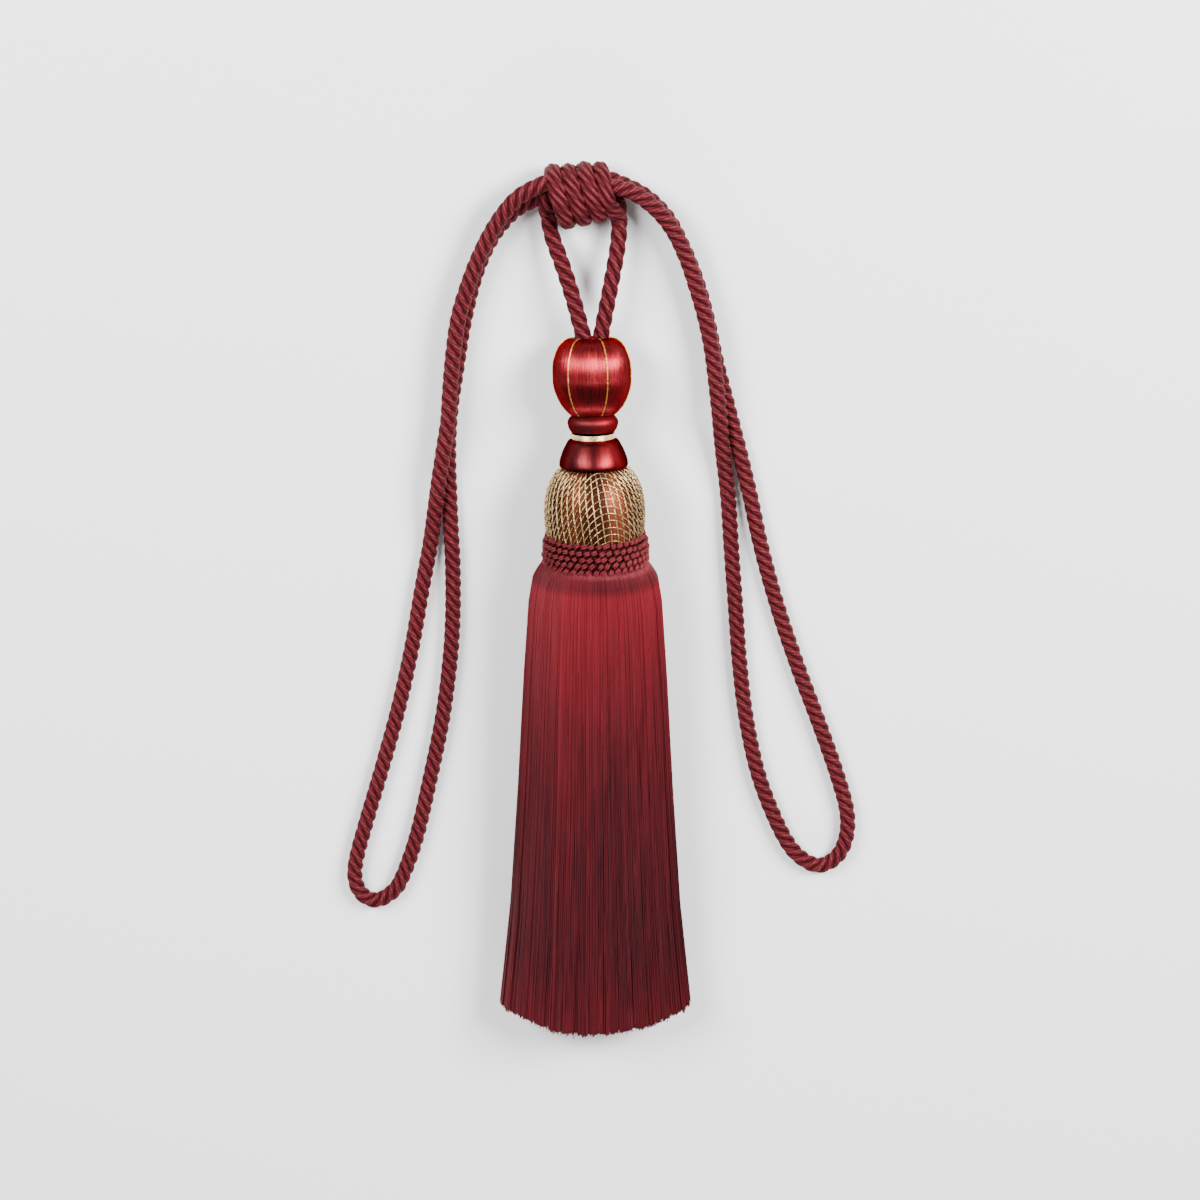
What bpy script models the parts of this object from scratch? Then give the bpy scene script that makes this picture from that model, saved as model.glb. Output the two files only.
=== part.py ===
"""A curtain tieback with a tassel, lying on a flat surface.

A four-ply rope is doubled and held at its middle by a barrel knot, so that it makes a loop on each
side, and the knot's own cord hangs a tassel. The tassel is a string of turned moulds wound with silk
(a bulb, a bead, a flare and a ball under a net), with a gold band, a collar of gimp rows and a skirt
of cut fringe. The origin is on the surface, below the middle of the knot and tassel together, +Y
runs up the tassel to the knot, and +Z is away from the surface. Sizes are in millimetres, and MM
turns them into metres.
"""

import math
import random

import bmesh
import bpy
from mathutils import Matrix, Vector

MM = 0.001
COLLECTION = "curtain_tieback_tassel"

# The rope: four plies laid to the left, so that the ridges lean like a backslash.
PLIES = 4
ROPE_RADIUS = 3.45
PLY_GROOVE = 0.6
ARM_LEAD = 19.3
LEG_LEAD = 24.0
STEPS_PER_LEAD = 6
GAP = 0.3

# The turned pieces: length along the tassel's axis, and how steeply the axis climbs from the knot's
# side to the fringe's side, because the thick collar lies on the same surface as the thin bulb.
HEAD_LEAN = 1.1
BULB_SLOPE = 9.4
BEAD_SLOPE = 8.5
FLARE_SLOPE = 5.0
BALL_SLOPE = 1.5
COLLAR_SLOPE = -3.5
TURNED_STEPS = 20

BULB_LENGTH = 31.2
BULB_OUTLINE = [  # (distance from the top, radius)
    (0.0, 8.6),
    (0.9, 11.3),
    (3.4, 13.8),
    (6.0, 15.1),
    (9.0, 16.1),
    (12.5, 16.5),
    (16.5, 16.5),
    (19.5, 16.1),
    (22.5, 15.1),
    (25.5, 13.8),
    (28.5, 12.2),
    (31.2, 10.2),
]
BEAD_LENGTH = 7.9
BEAD_RADIUS = 10.7
BEAD_EDGE_RADIUS = 9.2
BAND_WIDTH = 2.1
BAND_RADIUS = 9.7
BAND_BORE = 6.4
NECK_RADIUS = 6.0
FLARE_LENGTH = 12.0
FLARE_OUTLINE = [  # (distance from the top, radius)
    (0.0, 9.6),
    (0.7, 11.2),
    (3.2, 12.7),
    (6.0, 14.0),
    (9.0, 14.6),
    (11.2, 14.7),
    (12.0, 14.1),
]
BALL_LENGTH = 31.0
BALL_TUCK = 2.7
BALL_OUTLINE = [  # (distance from the top, radius)
    (-1.2, 7.0),
    (-0.4, 13.0),
    (0.6, 15.3),
    (1.9, 16.8),
    (4.4, 18.3),
    (8.4, 19.8),
    (13.8, 20.9),
    (20.0, 21.1),
    (25.5, 20.8),
    (28.3, 20.3),
    (31.0, 19.8),
]

# The gold threads along the bulb.
THREADS = 6
FIRST_THREAD_ANGLE = 23.5
THREAD_RADIUS = 0.25

# The collar: rows of twisted gimp round the ball's foot, pressed flat where it touches the surface.
COLLAR_LENGTH = 16.4
COLLAR_ROWS = 5
COLLAR_RADIUS = 23.3
COLLAR_GROOVE = 1.0
COLLAR_TWIST = 0.45
COLLAR_BORE = 21.0
COLLAR_STEPS = 60
COLLAR_CENTRE = (0.0, 27.0, 22.9)
FLAT_DEPTH = 0.9

# The skirt: locks on a round root, spread flat towards the hem.
ROOT_RADIUS = 20.5
ROOT_DEPTH = 7.0
LOCKS_ACROSS = 15
LOCKS_DEEP = 9
LOCK_GAP = 0.28
SKIRT_SECTIONS = [  # (distance from the collar, half width, half height)
    (0.0, 20.5, 20.5),
    (5.0, 25.6, 22.6),
    (14.0, 28.4, 22.3),
    (110.0, 34.3, 18.9),
    (204.0, 43.0, 15.6),
]
HEM_AT = 204.0
HEM_CURVE = 9.0
HEM_RAGGED = 1.6
SETTLE = 0.6
LOCK_THINNING = 0.16

# The barrel knot: wraps of the hanger cord round the doubled rope.
KNOT_CENTRE = (-7.6, 180.3, 12.0)
KNOT_HALF_WIDTH = 13.5
KNOT_HALF_HEIGHT = 12.2
KNOT_LEFT = -13.9
KNOT_LEFT_SLANT = 6.8
KNOT_RIGHT = 12.8
KNOT_RIGHT_SLANT = 0.6
WRAP_PITCH = 6.8
WRAP_LEAN = 3.4
WRAP_GROOVE = 1.9
KNOT_STEPS_ROUND = 22
KNOT_STEPS_ALONG = 24

# Where the rope lies, from the knot round each loop and back to the knot.
LEFT_ARM_ROUTE = [
    (-21.3, 186.7, 17.1),
    (-31.3, 181.2, 15.8),
    (-37.8, 174.1, 14.4),
    (-43.9, 164.4, 12.5),
    (-49.6, 152.5, 11.1),
    (-54.4, 139.7, 10.8),
    (-58.1, 127.0, 10.8),
    (-60.4, 111.7, 10.8),
    (-61.9, 96.1, 10.8),
    (-62.9, 82.0, 10.9),
    (-65.0, 69.0, 10.8),
    (-67.6, 52.0, 9.6),
    (-69.6, 37.5, 6.5),
    (-71.7, 23.5, 3.8),
    (-75.3, 4.6, 3.6),
    (-79.6, -19.8, 3.6),
    (-85.7, -47.8, 3.6),
    (-93.3, -76.0, 3.6),
    (-101.0, -102.5, 3.6),
    (-106.2, -122.0, 3.6),
    (-106.6, -132.0, 3.6),
    (-103.4, -138.6, 3.6),
    (-97.6, -141.0, 3.6),
    (-91.4, -138.0, 3.6),
    (-86.4, -131.4, 3.6),
    (-79.4, -111.4, 3.6),
    (-72.9, -83.4, 3.6),
    (-66.6, -52.0, 3.6),
    (-62.7, -19.0, 3.6),
    (-61.8, 11.0, 3.6),
    (-62.7, 39.0, 3.6),
    (-63.2, 65.0, 3.6),
    (-62.1, 84.4, 3.6),
    (-59.6, 101.5, 3.6),
    (-55.9, 124.0, 3.6),
    (-51.2, 143.1, 3.6),
    (-45.7, 157.0, 4.2),
    (-39.1, 167.5, 6.4),
    (-31.5, 174.9, 8.4),
    (-19.5, 180.2, 9.3),
]
RIGHT_ARM_ROUTE = [
    (6.8, 185.3, 17.0),
    (15.4, 182.9, 16.6),
    (24.7, 176.0, 15.1),
    (32.2, 166.6, 13.3),
    (37.7, 155.3, 11.4),
    (42.3, 142.0, 11.0),
    (46.6, 127.0, 10.9),
    (49.4, 113.5, 10.9),
    (51.2, 100.0, 10.7),
    (52.7, 87.0, 10.4),
    (53.9, 74.4, 8.1),
    (55.4, 61.0, 5.3),
    (57.1, 46.8, 3.6),
    (58.8, 23.0, 3.6),
    (60.7, -1.2, 3.6),
    (62.8, -28.0, 3.6),
    (65.9, -54.0, 3.6),
    (70.8, -78.0, 3.6),
    (77.0, -96.5, 3.6),
    (84.6, -112.9, 3.6),
    (91.6, -121.2, 3.6),
    (99.6, -124.4, 3.6),
    (107.0, -120.2, 3.6),
    (111.0, -111.0, 3.6),
    (111.0, -98.5, 3.6),
    (106.4, -81.5, 3.6),
    (98.1, -57.6, 3.6),
    (87.8, -29.7, 3.6),
    (78.9, -2.8, 3.6),
    (71.6, 24.0, 3.6),
    (66.6, 47.0, 3.6),
    (61.5, 68.0, 3.6),
    (56.8, 86.0, 3.6),
    (51.6, 106.0, 3.6),
    (47.4, 125.3, 3.6),
    (42.6, 142.4, 3.6),
    (36.4, 157.8, 4.2),
    (29.9, 170.1, 6.4),
    (20.2, 180.0, 8.4),
    (7.2, 186.4, 9.3),
]
LEFT_LEG_ROUTE = [
    (-20.1, 171.6, 7.3),
    (-18.2, 161.9, 8.6),
    (-14.2, 151.0, 11.3),
    (-9.7, 137.5, 13.9),
    (-5.2, 120.9, 15.4),
]
RIGHT_LEG_ROUTE = [
    (9.5, 176.6, 8.3),
    (10.1, 168.0, 9.1),
    (9.2, 157.0, 10.9),
    (6.1, 140.0, 13.7),
    (2.4, 120.9, 15.4),
]
ROUTE_FINENESS = 12


def material(name, colour, roughness, metallic=0.0):
    """A Principled material for one piece."""
    result = bpy.data.materials.new(name)
    result.use_nodes = True
    shader = result.node_tree.nodes["Principled BSDF"]
    shader.inputs["Base Color"].default_value = (*colour, 1.0)
    shader.inputs["Roughness"].default_value = roughness
    shader.inputs["Metallic"].default_value = metallic
    result.diffuse_color = (*colour, 1.0)
    return result


def cord_red(name):
    """The crimson of the rope's yarn."""
    return material(name, (0.30, 0.022, 0.045), 0.7)


def silk_red(name):
    """The crimson of the wound silk."""
    return material(name, (0.45, 0.025, 0.035), 0.35)


def gold(name):
    """The metal thread's gold."""
    return material(name, (0.83, 0.60, 0.24), 0.3, 0.9)


def clear_scene():
    """Removes whatever the scene holds."""
    for old in list(bpy.data.objects):
        bpy.data.objects.remove(old, do_unlink=True)


def new_collection(name):
    """A collection in the scene's own."""
    result = bpy.data.collections.new(name)
    bpy.context.scene.collection.children.link(result)
    return result


def add_object(name, data, collection, colour=None):
    """An object for this mesh or curve, with its material, in the collection."""
    result = bpy.data.objects.new(name, data)
    collection.objects.link(result)
    if colour is not None:
        data.materials.append(colour)
    return result


def mesh_from(bm, name):
    """A smooth-shaded mesh from a bmesh that this frees."""
    result = bpy.data.meshes.new(name)
    bm.to_mesh(result)
    bm.free()
    result.shade_smooth()
    return result


# The tassel's axis


def up_the_axis(slope):
    """The direction along the axis towards the knot, where the axis has this slope."""
    lean, tilt = math.radians(HEAD_LEAN), math.radians(slope)
    flat = math.cos(tilt)
    return Vector((-math.sin(lean) * flat, math.cos(lean) * flat, -math.sin(tilt)))


def placed(top, slope):
    """The place of a turned piece whose top is at top and whose local +Z runs up the axis."""
    turn = Matrix.Rotation(math.radians(HEAD_LEAN), 4, "Z")
    tip = Matrix.Rotation(-math.radians(90 + slope), 4, "X")
    return Matrix.Translation(top * MM) @ turn @ tip


def joint_gap(radius, slope, next_slope):
    """The gap on the axis that leaves GAP at this radius, where the axis bends between two pieces."""
    return GAP + radius * math.tan(math.radians(abs(slope - next_slope)))


def axis_places():
    """The top of each turned piece, walked from the collar up to the bulb, in millimetres."""
    crown, crown_radius = BALL_OUTLINE[0]
    under_flare = joint_gap(crown_radius, FLARE_SLOPE, BALL_SLOPE) - crown
    under_bead = joint_gap(BEAD_EDGE_RADIUS, BEAD_SLOPE, FLARE_SLOPE)
    under_bulb = joint_gap(BULB_OUTLINE[-1][1], BULB_SLOPE, BEAD_SLOPE)
    collar_top = Vector(COLLAR_CENTRE) + COLLAR_LENGTH / 2 * up_the_axis(COLLAR_SLOPE)
    ball_foot = collar_top - BALL_TUCK * up_the_axis(COLLAR_SLOPE)
    ball_top = ball_foot + BALL_LENGTH * up_the_axis(BALL_SLOPE)
    flare_top = ball_top + (under_flare + FLARE_LENGTH) * up_the_axis(FLARE_SLOPE)
    band_top = flare_top + (BAND_WIDTH + GAP) * up_the_axis(FLARE_SLOPE)
    bead_top = band_top + (BEAD_LENGTH + under_bead) * up_the_axis(BEAD_SLOPE)
    bulb_top = bead_top + (BULB_LENGTH + under_bulb) * up_the_axis(BULB_SLOPE)
    return {
        "collar": collar_top,
        "ball": ball_top,
        "flare": flare_top,
        "band": band_top,
        "bead": bead_top,
        "bulb": bulb_top,
    }


# Turned pieces


def turned(name, outline, place, collection, colour):
    """A solid of revolution: the outline of (distance from the top, radius) turned round local Z."""
    bm = bmesh.new()
    points = [bm.verts.new((radius * MM, 0, -down * MM)) for down, radius in outline]
    for first, second in zip(points, points[1:]):
        bm.edges.new((first, second))
    mesh = bpy.data.meshes.new(name)
    bm.to_mesh(mesh)
    bm.free()
    result = add_object(name, mesh, collection, colour)
    screw = result.modifiers.new("Turn", "SCREW")
    screw.steps = TURNED_STEPS
    screw.render_steps = TURNED_STEPS
    screw.use_merge_vertices = True
    screw.merge_threshold = 0.00001
    screw.use_smooth_shade = True
    result.matrix_world = place
    return result


def solid_outline(outline):
    """The outline closed to the axis at both ends."""
    return [(outline[0][0], 0.0), *outline, (outline[-1][0], 0.0)]


def bead_outline():
    """A round bead between two narrower edges."""
    steps = 5
    bulge = BEAD_RADIUS - BEAD_EDGE_RADIUS
    return [
        (BEAD_LENGTH * i / steps, BEAD_EDGE_RADIUS + bulge * math.sin(math.pi * i / steps))
        for i in range(steps + 1)
    ]


def flare_outline():
    """The flare, with the neck on its top that carries the gold band."""
    neck_top = -(BAND_WIDTH + GAP)
    return [(neck_top, NECK_RADIUS), (0.0, NECK_RADIUS), *FLARE_OUTLINE]


def band_outline():
    """The ring's section, closed, from its bore round its outer side."""
    edge = BAND_RADIUS - 0.5
    return [
        (0.0, BAND_BORE),
        (0.0, edge),
        (BAND_WIDTH * 0.3, BAND_RADIUS),
        (BAND_WIDTH * 0.7, BAND_RADIUS),
        (BAND_WIDTH, edge),
        (BAND_WIDTH, BAND_BORE),
        (0.0, BAND_BORE),
    ]


def raised(outline, height):
    """The inner points of an outline, each moved out from the turned surface by this height."""
    result = []
    for before, at, after in zip(outline, outline[1:], outline[2:]):
        run, rise = after[0] - before[0], after[1] - before[1]
        share = height / math.hypot(run, rise)
        result.append((at[0] - rise * share, at[1] + run * share))
    return result


def bulb_threads(place, collection):
    """Fine gold threads laid over the bulb from its top to its foot."""
    laid = raised(BULB_OUTLINE, GAP + THREAD_RADIUS)
    for number in range(THREADS):
        angle = math.radians(FIRST_THREAD_ANGLE + 360 / THREADS * number)
        curve = bpy.data.curves.new(f"bulb_thread_{number + 1}", "CURVE")
        curve.dimensions = "3D"
        curve.bevel_depth = THREAD_RADIUS * MM
        curve.bevel_resolution = 0
        curve.use_fill_caps = True
        spline = curve.splines.new("POLY")
        spline.points.add(len(laid) - 1)
        for point, (down, radius) in zip(spline.points, laid):
            across, up = radius * math.sin(angle), -radius * math.cos(angle)
            point.co = (across * MM, up * MM, -down * MM, 1)
        thread = add_object(curve.name, curve, collection, gold(curve.name))
        thread.matrix_world = place


# The collar


def collar_section(step):
    """(distance from the top, radius, is a ridge) of one point of the gimp's section."""
    last = 2 * COLLAR_ROWS
    if step > last:
        return (COLLAR_LENGTH if step == last + 1 else 0.0), COLLAR_BORE, False
    ridge = step % 2 == 1
    radius = COLLAR_RADIUS - (0 if ridge else COLLAR_GROOVE)
    return COLLAR_LENGTH * step / last, radius, ridge


def collar(place, collection):
    """Rows of gimp in one ring, with a bump for each turn of the twist, resting on a flat."""
    section_points = 2 * COLLAR_ROWS + 3
    bpy.ops.mesh.primitive_torus_add(
        major_segments=COLLAR_STEPS,
        minor_segments=section_points,
        major_radius=COLLAR_RADIUS * MM,
        minor_radius=MM,
    )
    result = bpy.context.object
    result.name = result.data.name = "collar"
    for number, vertex in enumerate(result.data.vertices):
        column, step = divmod(number, section_points)
        down, radius, ridge = collar_section(step)
        if ridge:
            radius += COLLAR_TWIST * (0.5 if (column + step // 2) % 2 else -0.5)
        angle = 2 * math.pi * column / COLLAR_STEPS
        local = Vector((radius * math.cos(angle), radius * math.sin(angle), -down))
        world = place @ (local * MM)
        if world.z < FLAT_DEPTH * MM:
            world.z = 0
        vertex.co = world
    bm = bmesh.new()
    bm.from_mesh(result.data)
    bmesh.ops.recalc_face_normals(bm, faces=bm.faces)
    bm.to_mesh(result.data)
    bm.free()
    result.data.shade_smooth()
    result.data.materials.append(cord_red("collar"))
    for old in result.users_collection:
        old.objects.unlink(result)
    collection.objects.link(result)


# The skirt


def disc_point(u, v):
    """The point of a unit disc for a point of the square from -1 to 1, spread evenly."""
    if abs(u) < 1e-9 and abs(v) < 1e-9:
        return 0.0, 0.0
    if abs(u) > abs(v):
        return u * math.cos(math.pi / 4 * v / u), u * math.sin(math.pi / 4 * v / u)
    return v * math.sin(math.pi / 4 * u / v), v * math.cos(math.pi / 4 * u / v)


def skirt_point(across, up, section, reach):
    """Where a point of the unit disc lies at a section of the skirt: round in the collar, and past
    it level on the surface below."""
    along, half_width, half_height = section
    foot = Vector(COLLAR_CENTRE) - COLLAR_LENGTH / 2 * up_the_axis(COLLAR_SLOPE)
    rise = math.sqrt(max(0.0, 1 - across * across))
    if along == 0:
        level = foot.z + half_height * up
        lean = math.tan(math.radians(COLLAR_SLOPE)) * (level - foot.z)
        return Vector((across * half_width, foot.y + lean, level)) * MM
    edge = max(rise - LOCK_GAP / ROOT_RADIUS, 1e-6)
    share = min(1.0, max(0.0, (up / edge + 1) / 2))
    flatter = (1 - abs(across) ** 3) ** (1 / 3)
    low = max(0.0, half_height * (1 - flatter) - SETTLE)
    high = half_height * (1 + rise)
    level = low + (high - low) * share
    return Vector((across * half_width, foot.y - along * reach, level)) * MM


def hem_reach(across, up, ragged):
    """How far a lock reaches, as a share of the skirt's length: longest on top, in the middle."""
    crown = (1 - across * across) * (0.35 + 0.65 * max(0.0, up)) if up > -0.5 else 0.0
    short = 3.0 if up < -0.6 else 0.0
    return 1 + (HEM_CURVE * crown - short + ragged) / HEM_AT


def skirt(collection):
    """Cut fringe: locks that stand apart, with their roots in one round backing in the collar."""
    chance = random.Random(7)
    bm = bmesh.new()
    bmesh.ops.create_grid(bm, x_segments=LOCKS_ACROSS, y_segments=LOCKS_DEEP, size=1)
    for vertex in bm.verts:
        vertex.co.x, vertex.co.y = disc_point(vertex.co.x, vertex.co.y)
        vertex.co.z = 0
    back = bmesh.ops.extrude_face_region(bm, geom=bm.faces[:])
    lifted = [item for item in back["geom"] if isinstance(item, bmesh.types.BMVert)]
    bmesh.ops.translate(bm, verts=lifted, vec=(0, 0, 1))
    roots = [face for face in bm.faces if all(vertex.co.z < 0.5 for vertex in face.verts)]
    cap = [face for face in bm.faces if all(vertex.co.z > 0.5 for vertex in face.verts)]
    bmesh.ops.dissolve_faces(bm, faces=cap)
    bmesh.ops.inset_individual(bm, faces=roots, thickness=LOCK_GAP / ROOT_RADIUS)
    plan = {vertex: vertex.co.copy() for vertex in bm.verts}
    root = SKIRT_SECTIONS[0]
    for face in roots:
        corners = [plan[vertex] for vertex in face.verts]
        middle = sum(corners, Vector()) / len(corners)
        reach = hem_reach(middle.x, middle.y, chance.uniform(-HEM_RAGGED, HEM_RAGGED))
        thinning = chance.uniform(0, LOCK_THINNING)
        tip = face
        for section in SKIRT_SECTIONS[1:]:
            grown = bmesh.ops.extrude_discrete_faces(bm, faces=[tip])["faces"][0]
            slim = 1 - thinning * section[0] / HEM_AT
            for vertex, corner in zip(grown.verts, corners):
                spot = middle + (corner - middle) * slim
                vertex.co = skirt_point(spot.x, spot.y, section, reach)
            tip = grown
    depth = ROOT_DEPTH * MM * up_the_axis(COLLAR_SLOPE)
    for vertex, spot in plan.items():
        vertex.co = skirt_point(spot.x, spot.y, root, 1.0) + (depth if spot.z > 0.5 else Vector())
    bmesh.ops.recalc_face_normals(bm, faces=bm.faces)
    mesh = mesh_from(bm, "skirt")
    add_object("skirt", mesh, collection, silk_red("skirt"))


# The knot


def knot_point(angle, share):
    """A point of the knot's skin: angle runs from the top edge over the front, share from left to right."""
    turn = (1 - math.cos(angle)) / 2
    left = KNOT_LEFT + KNOT_LEFT_SLANT * turn
    right = KNOT_RIGHT + KNOT_RIGHT_SLANT * turn
    along = left + (right - left) * share
    phase = (along - KNOT_LEFT - WRAP_LEAN * turn) / WRAP_PITCH - angle / (2 * math.pi)
    groove = WRAP_GROOVE * (1 - abs(math.sin(math.pi * phase)) ** 0.8)
    width, height = KNOT_HALF_WIDTH - groove, KNOT_HALF_HEIGHT - groove
    centre = Vector(KNOT_CENTRE)
    point = centre + Vector((along, width * math.cos(angle), height * math.sin(angle)))
    if point.z < FLAT_DEPTH:
        point.z = 0
    return point * MM


def knot(collection):
    """The barrel knot: a ridge for each wrap, leaning as the wraps do, flat where it rests."""
    bm = bmesh.new()
    bmesh.ops.create_cone(
        bm, cap_ends=True, segments=KNOT_STEPS_ROUND, radius1=1, radius2=1, depth=1
    )
    along = [edge for edge in bm.edges if abs(edge.verts[0].co.z - edge.verts[1].co.z) > 0.5]
    bmesh.ops.subdivide_edges(bm, edges=along, cuts=KNOT_STEPS_ALONG - 1)
    for vertex in bm.verts:
        angle = math.atan2(vertex.co.y, vertex.co.x) % (2 * math.pi)
        vertex.co = knot_point(angle, vertex.co.z + 0.5)
    mesh = mesh_from(bm, "knot")
    add_object("knot", mesh, collection, cord_red("knot"))


# The rope


def smooth_route(route, step):
    """Points about step apart on the smooth curve through the route's points, in millimetres."""
    given = [Vector(point) for point in route]
    given = [2 * given[0] - given[1], *given, 2 * given[-1] - given[-2]]
    fine = []
    for a, b, c, d in zip(given, given[1:], given[2:], given[3:]):
        for i in range(ROUTE_FINENESS):
            t = i / ROUTE_FINENESS
            even = 2 * b + (c - a) * t
            bend = (2 * a - 5 * b + 4 * c - d) * t**2 + (3 * b - a - 3 * c + d) * t**3
            fine.append((even + bend) / 2)
    fine.append(given[-2])
    travelled = [0.0]
    for first, second in zip(fine, fine[1:]):
        travelled.append(travelled[-1] + (second - first).length)
    count = max(2, round(travelled[-1] / step))
    result, at = [], 0
    for i in range(count + 1):
        wanted = travelled[-1] * i / count
        while at < len(fine) - 2 and travelled[at + 1] < wanted:
            at += 1
        span = travelled[at + 1] - travelled[at]
        result.append(fine[at].lerp(fine[at + 1], (wanted - travelled[at]) / span))
    return result


def rope_section(guides):
    """The section of the rope, a guide curve with one lobe for each ply."""
    curve = bpy.data.curves.new("rope_section", "CURVE")
    curve.dimensions = "2D"
    spline = curve.splines.new("POLY")
    spline.points.add(2 * PLIES - 1)
    spline.use_cyclic_u = True
    for i, point in enumerate(spline.points):
        radius = (ROPE_RADIUS - (PLY_GROOVE if i % 2 else 0)) * MM
        angle = -math.pi * i / PLIES
        point.co = (radius * math.cos(angle), radius * math.sin(angle), 0, 1)
    result = add_object("rope_section", curve, guides)
    result.hide_render = True
    result.display_type = "WIRE"
    return result


def rope(name, route, lead, section, collection):
    """A twisted length of rope along a route, with one turn of its plies for each lead."""
    curve = bpy.data.curves.new(name, "CURVE")
    curve.dimensions = "3D"
    curve.twist_mode = "MINIMUM"
    curve.bevel_mode = "OBJECT"
    curve.bevel_object = section
    curve.use_fill_caps = True
    laid = smooth_route(route, lead / STEPS_PER_LEAD)
    spline = curve.splines.new("POLY")
    spline.points.add(len(laid) - 1)
    for i, (point, place) in enumerate(zip(spline.points, laid)):
        point.co = (*(place * MM), 1)
        point.tilt = -2 * math.pi * i / STEPS_PER_LEAD
    add_object(name, curve, collection, cord_red(name))


def build():
    """Makes every piece of the tieback."""
    clear_scene()
    parts = new_collection(COLLECTION)
    guides = new_collection("guides")
    tops = axis_places()
    bulb_place = placed(tops["bulb"], BULB_SLOPE)
    bulb = solid_outline(BULB_OUTLINE)
    bead = solid_outline(bead_outline())
    flare = solid_outline(flare_outline())
    ball = solid_outline(BALL_OUTLINE)
    turned("bulb", bulb, bulb_place, parts, silk_red("bulb"))
    bulb_threads(bulb_place, parts)
    turned("bead", bead, placed(tops["bead"], BEAD_SLOPE), parts, silk_red("bead"))
    turned("band", band_outline(), placed(tops["band"], FLARE_SLOPE), parts, gold("band"))
    turned("flare", flare, placed(tops["flare"], FLARE_SLOPE), parts, silk_red("flare"))
    turned("ball", ball, placed(tops["ball"], BALL_SLOPE), parts, gold("ball"))
    collar(placed(tops["collar"], COLLAR_SLOPE), parts)
    skirt(parts)
    knot(parts)
    section = rope_section(guides)
    rope("arm_left", LEFT_ARM_ROUTE, ARM_LEAD, section, parts)
    rope("arm_right", RIGHT_ARM_ROUTE, ARM_LEAD, section, parts)
    rope("leg_left", LEFT_LEG_ROUTE, LEG_LEAD, section, parts)
    rope("leg_right", RIGHT_LEG_ROUTE, LEG_LEAD, section, parts)


build()
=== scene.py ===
"""A curtain tieback with a tassel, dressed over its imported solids.

Twisted rope, a barrel knot, silk-wound moulds with gold thread, a netted ball, a collar of gimp and
a skirt of cut fringe lie on a pale surface. Tables are in millimetres, and MM turns them into metres.
"""

import math

import bpy
import numpy as np
from mathutils import Matrix, Vector


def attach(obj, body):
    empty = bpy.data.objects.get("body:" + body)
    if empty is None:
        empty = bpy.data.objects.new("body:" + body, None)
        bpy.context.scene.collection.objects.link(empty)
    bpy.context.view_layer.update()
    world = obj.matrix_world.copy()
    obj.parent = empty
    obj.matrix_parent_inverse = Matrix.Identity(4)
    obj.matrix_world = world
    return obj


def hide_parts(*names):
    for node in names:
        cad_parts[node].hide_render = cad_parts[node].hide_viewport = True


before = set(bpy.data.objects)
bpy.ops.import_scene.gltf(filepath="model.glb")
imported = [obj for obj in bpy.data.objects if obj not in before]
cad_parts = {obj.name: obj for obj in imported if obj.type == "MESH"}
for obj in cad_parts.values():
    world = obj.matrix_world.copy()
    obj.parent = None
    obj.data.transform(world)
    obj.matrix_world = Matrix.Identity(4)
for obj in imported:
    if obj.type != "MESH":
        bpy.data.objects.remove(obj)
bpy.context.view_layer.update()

bl_info = {
    "name": "Curtain Tieback Tassel",
    "version": (1, 0, 0),
    "blender": (4, 5, 0),
    "location": "3D View > Sidebar > Tieback",
    "description": "Builds a twisted rope tieback with a silk, gold and fringe tassel",
    "category": "Add Mesh",
}

MM = 0.001
TURN = 2 * math.pi
BODY = "root"

# Where the rope lies, from the knot round each loop and back to the knot.
LEFT_ARM_ROUTE = [
    (-21.3, 186.7, 17.1), (-31.3, 181.2, 15.8), (-37.8, 174.1, 14.4), (-43.9, 164.4, 12.5),
    (-49.6, 152.5, 11.1), (-54.4, 139.7, 10.8), (-58.1, 127.0, 10.8), (-60.4, 111.7, 10.8),
    (-61.9, 96.1, 10.8), (-62.9, 82.0, 10.9), (-65.0, 69.0, 10.8), (-67.6, 52.0, 9.6),
    (-69.6, 37.5, 6.5), (-71.7, 23.5, 3.8), (-75.3, 4.6, 3.6), (-79.6, -19.8, 3.6), (-85.7, -47.8, 3.6),
    (-93.3, -76.0, 3.6), (-101.0, -102.5, 3.6), (-106.2, -122.0, 3.6), (-106.6, -132.0, 3.6),
    (-103.4, -138.6, 3.6), (-97.6, -141.0, 3.6), (-91.4, -138.0, 3.6), (-86.4, -131.4, 3.6),
    (-79.4, -111.4, 3.6), (-72.9, -83.4, 3.6), (-66.6, -52.0, 3.6), (-62.7, -19.0, 3.6),
    (-61.8, 11.0, 3.6), (-62.7, 39.0, 3.6), (-63.2, 65.0, 3.6), (-62.1, 84.4, 3.6), (-59.6, 101.5, 3.6),
    (-55.9, 124.0, 3.6), (-51.2, 143.1, 3.6), (-45.7, 157.0, 4.2), (-39.1, 167.5, 6.4),
    (-31.5, 174.9, 8.4), (-19.5, 180.2, 9.3),
]
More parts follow.
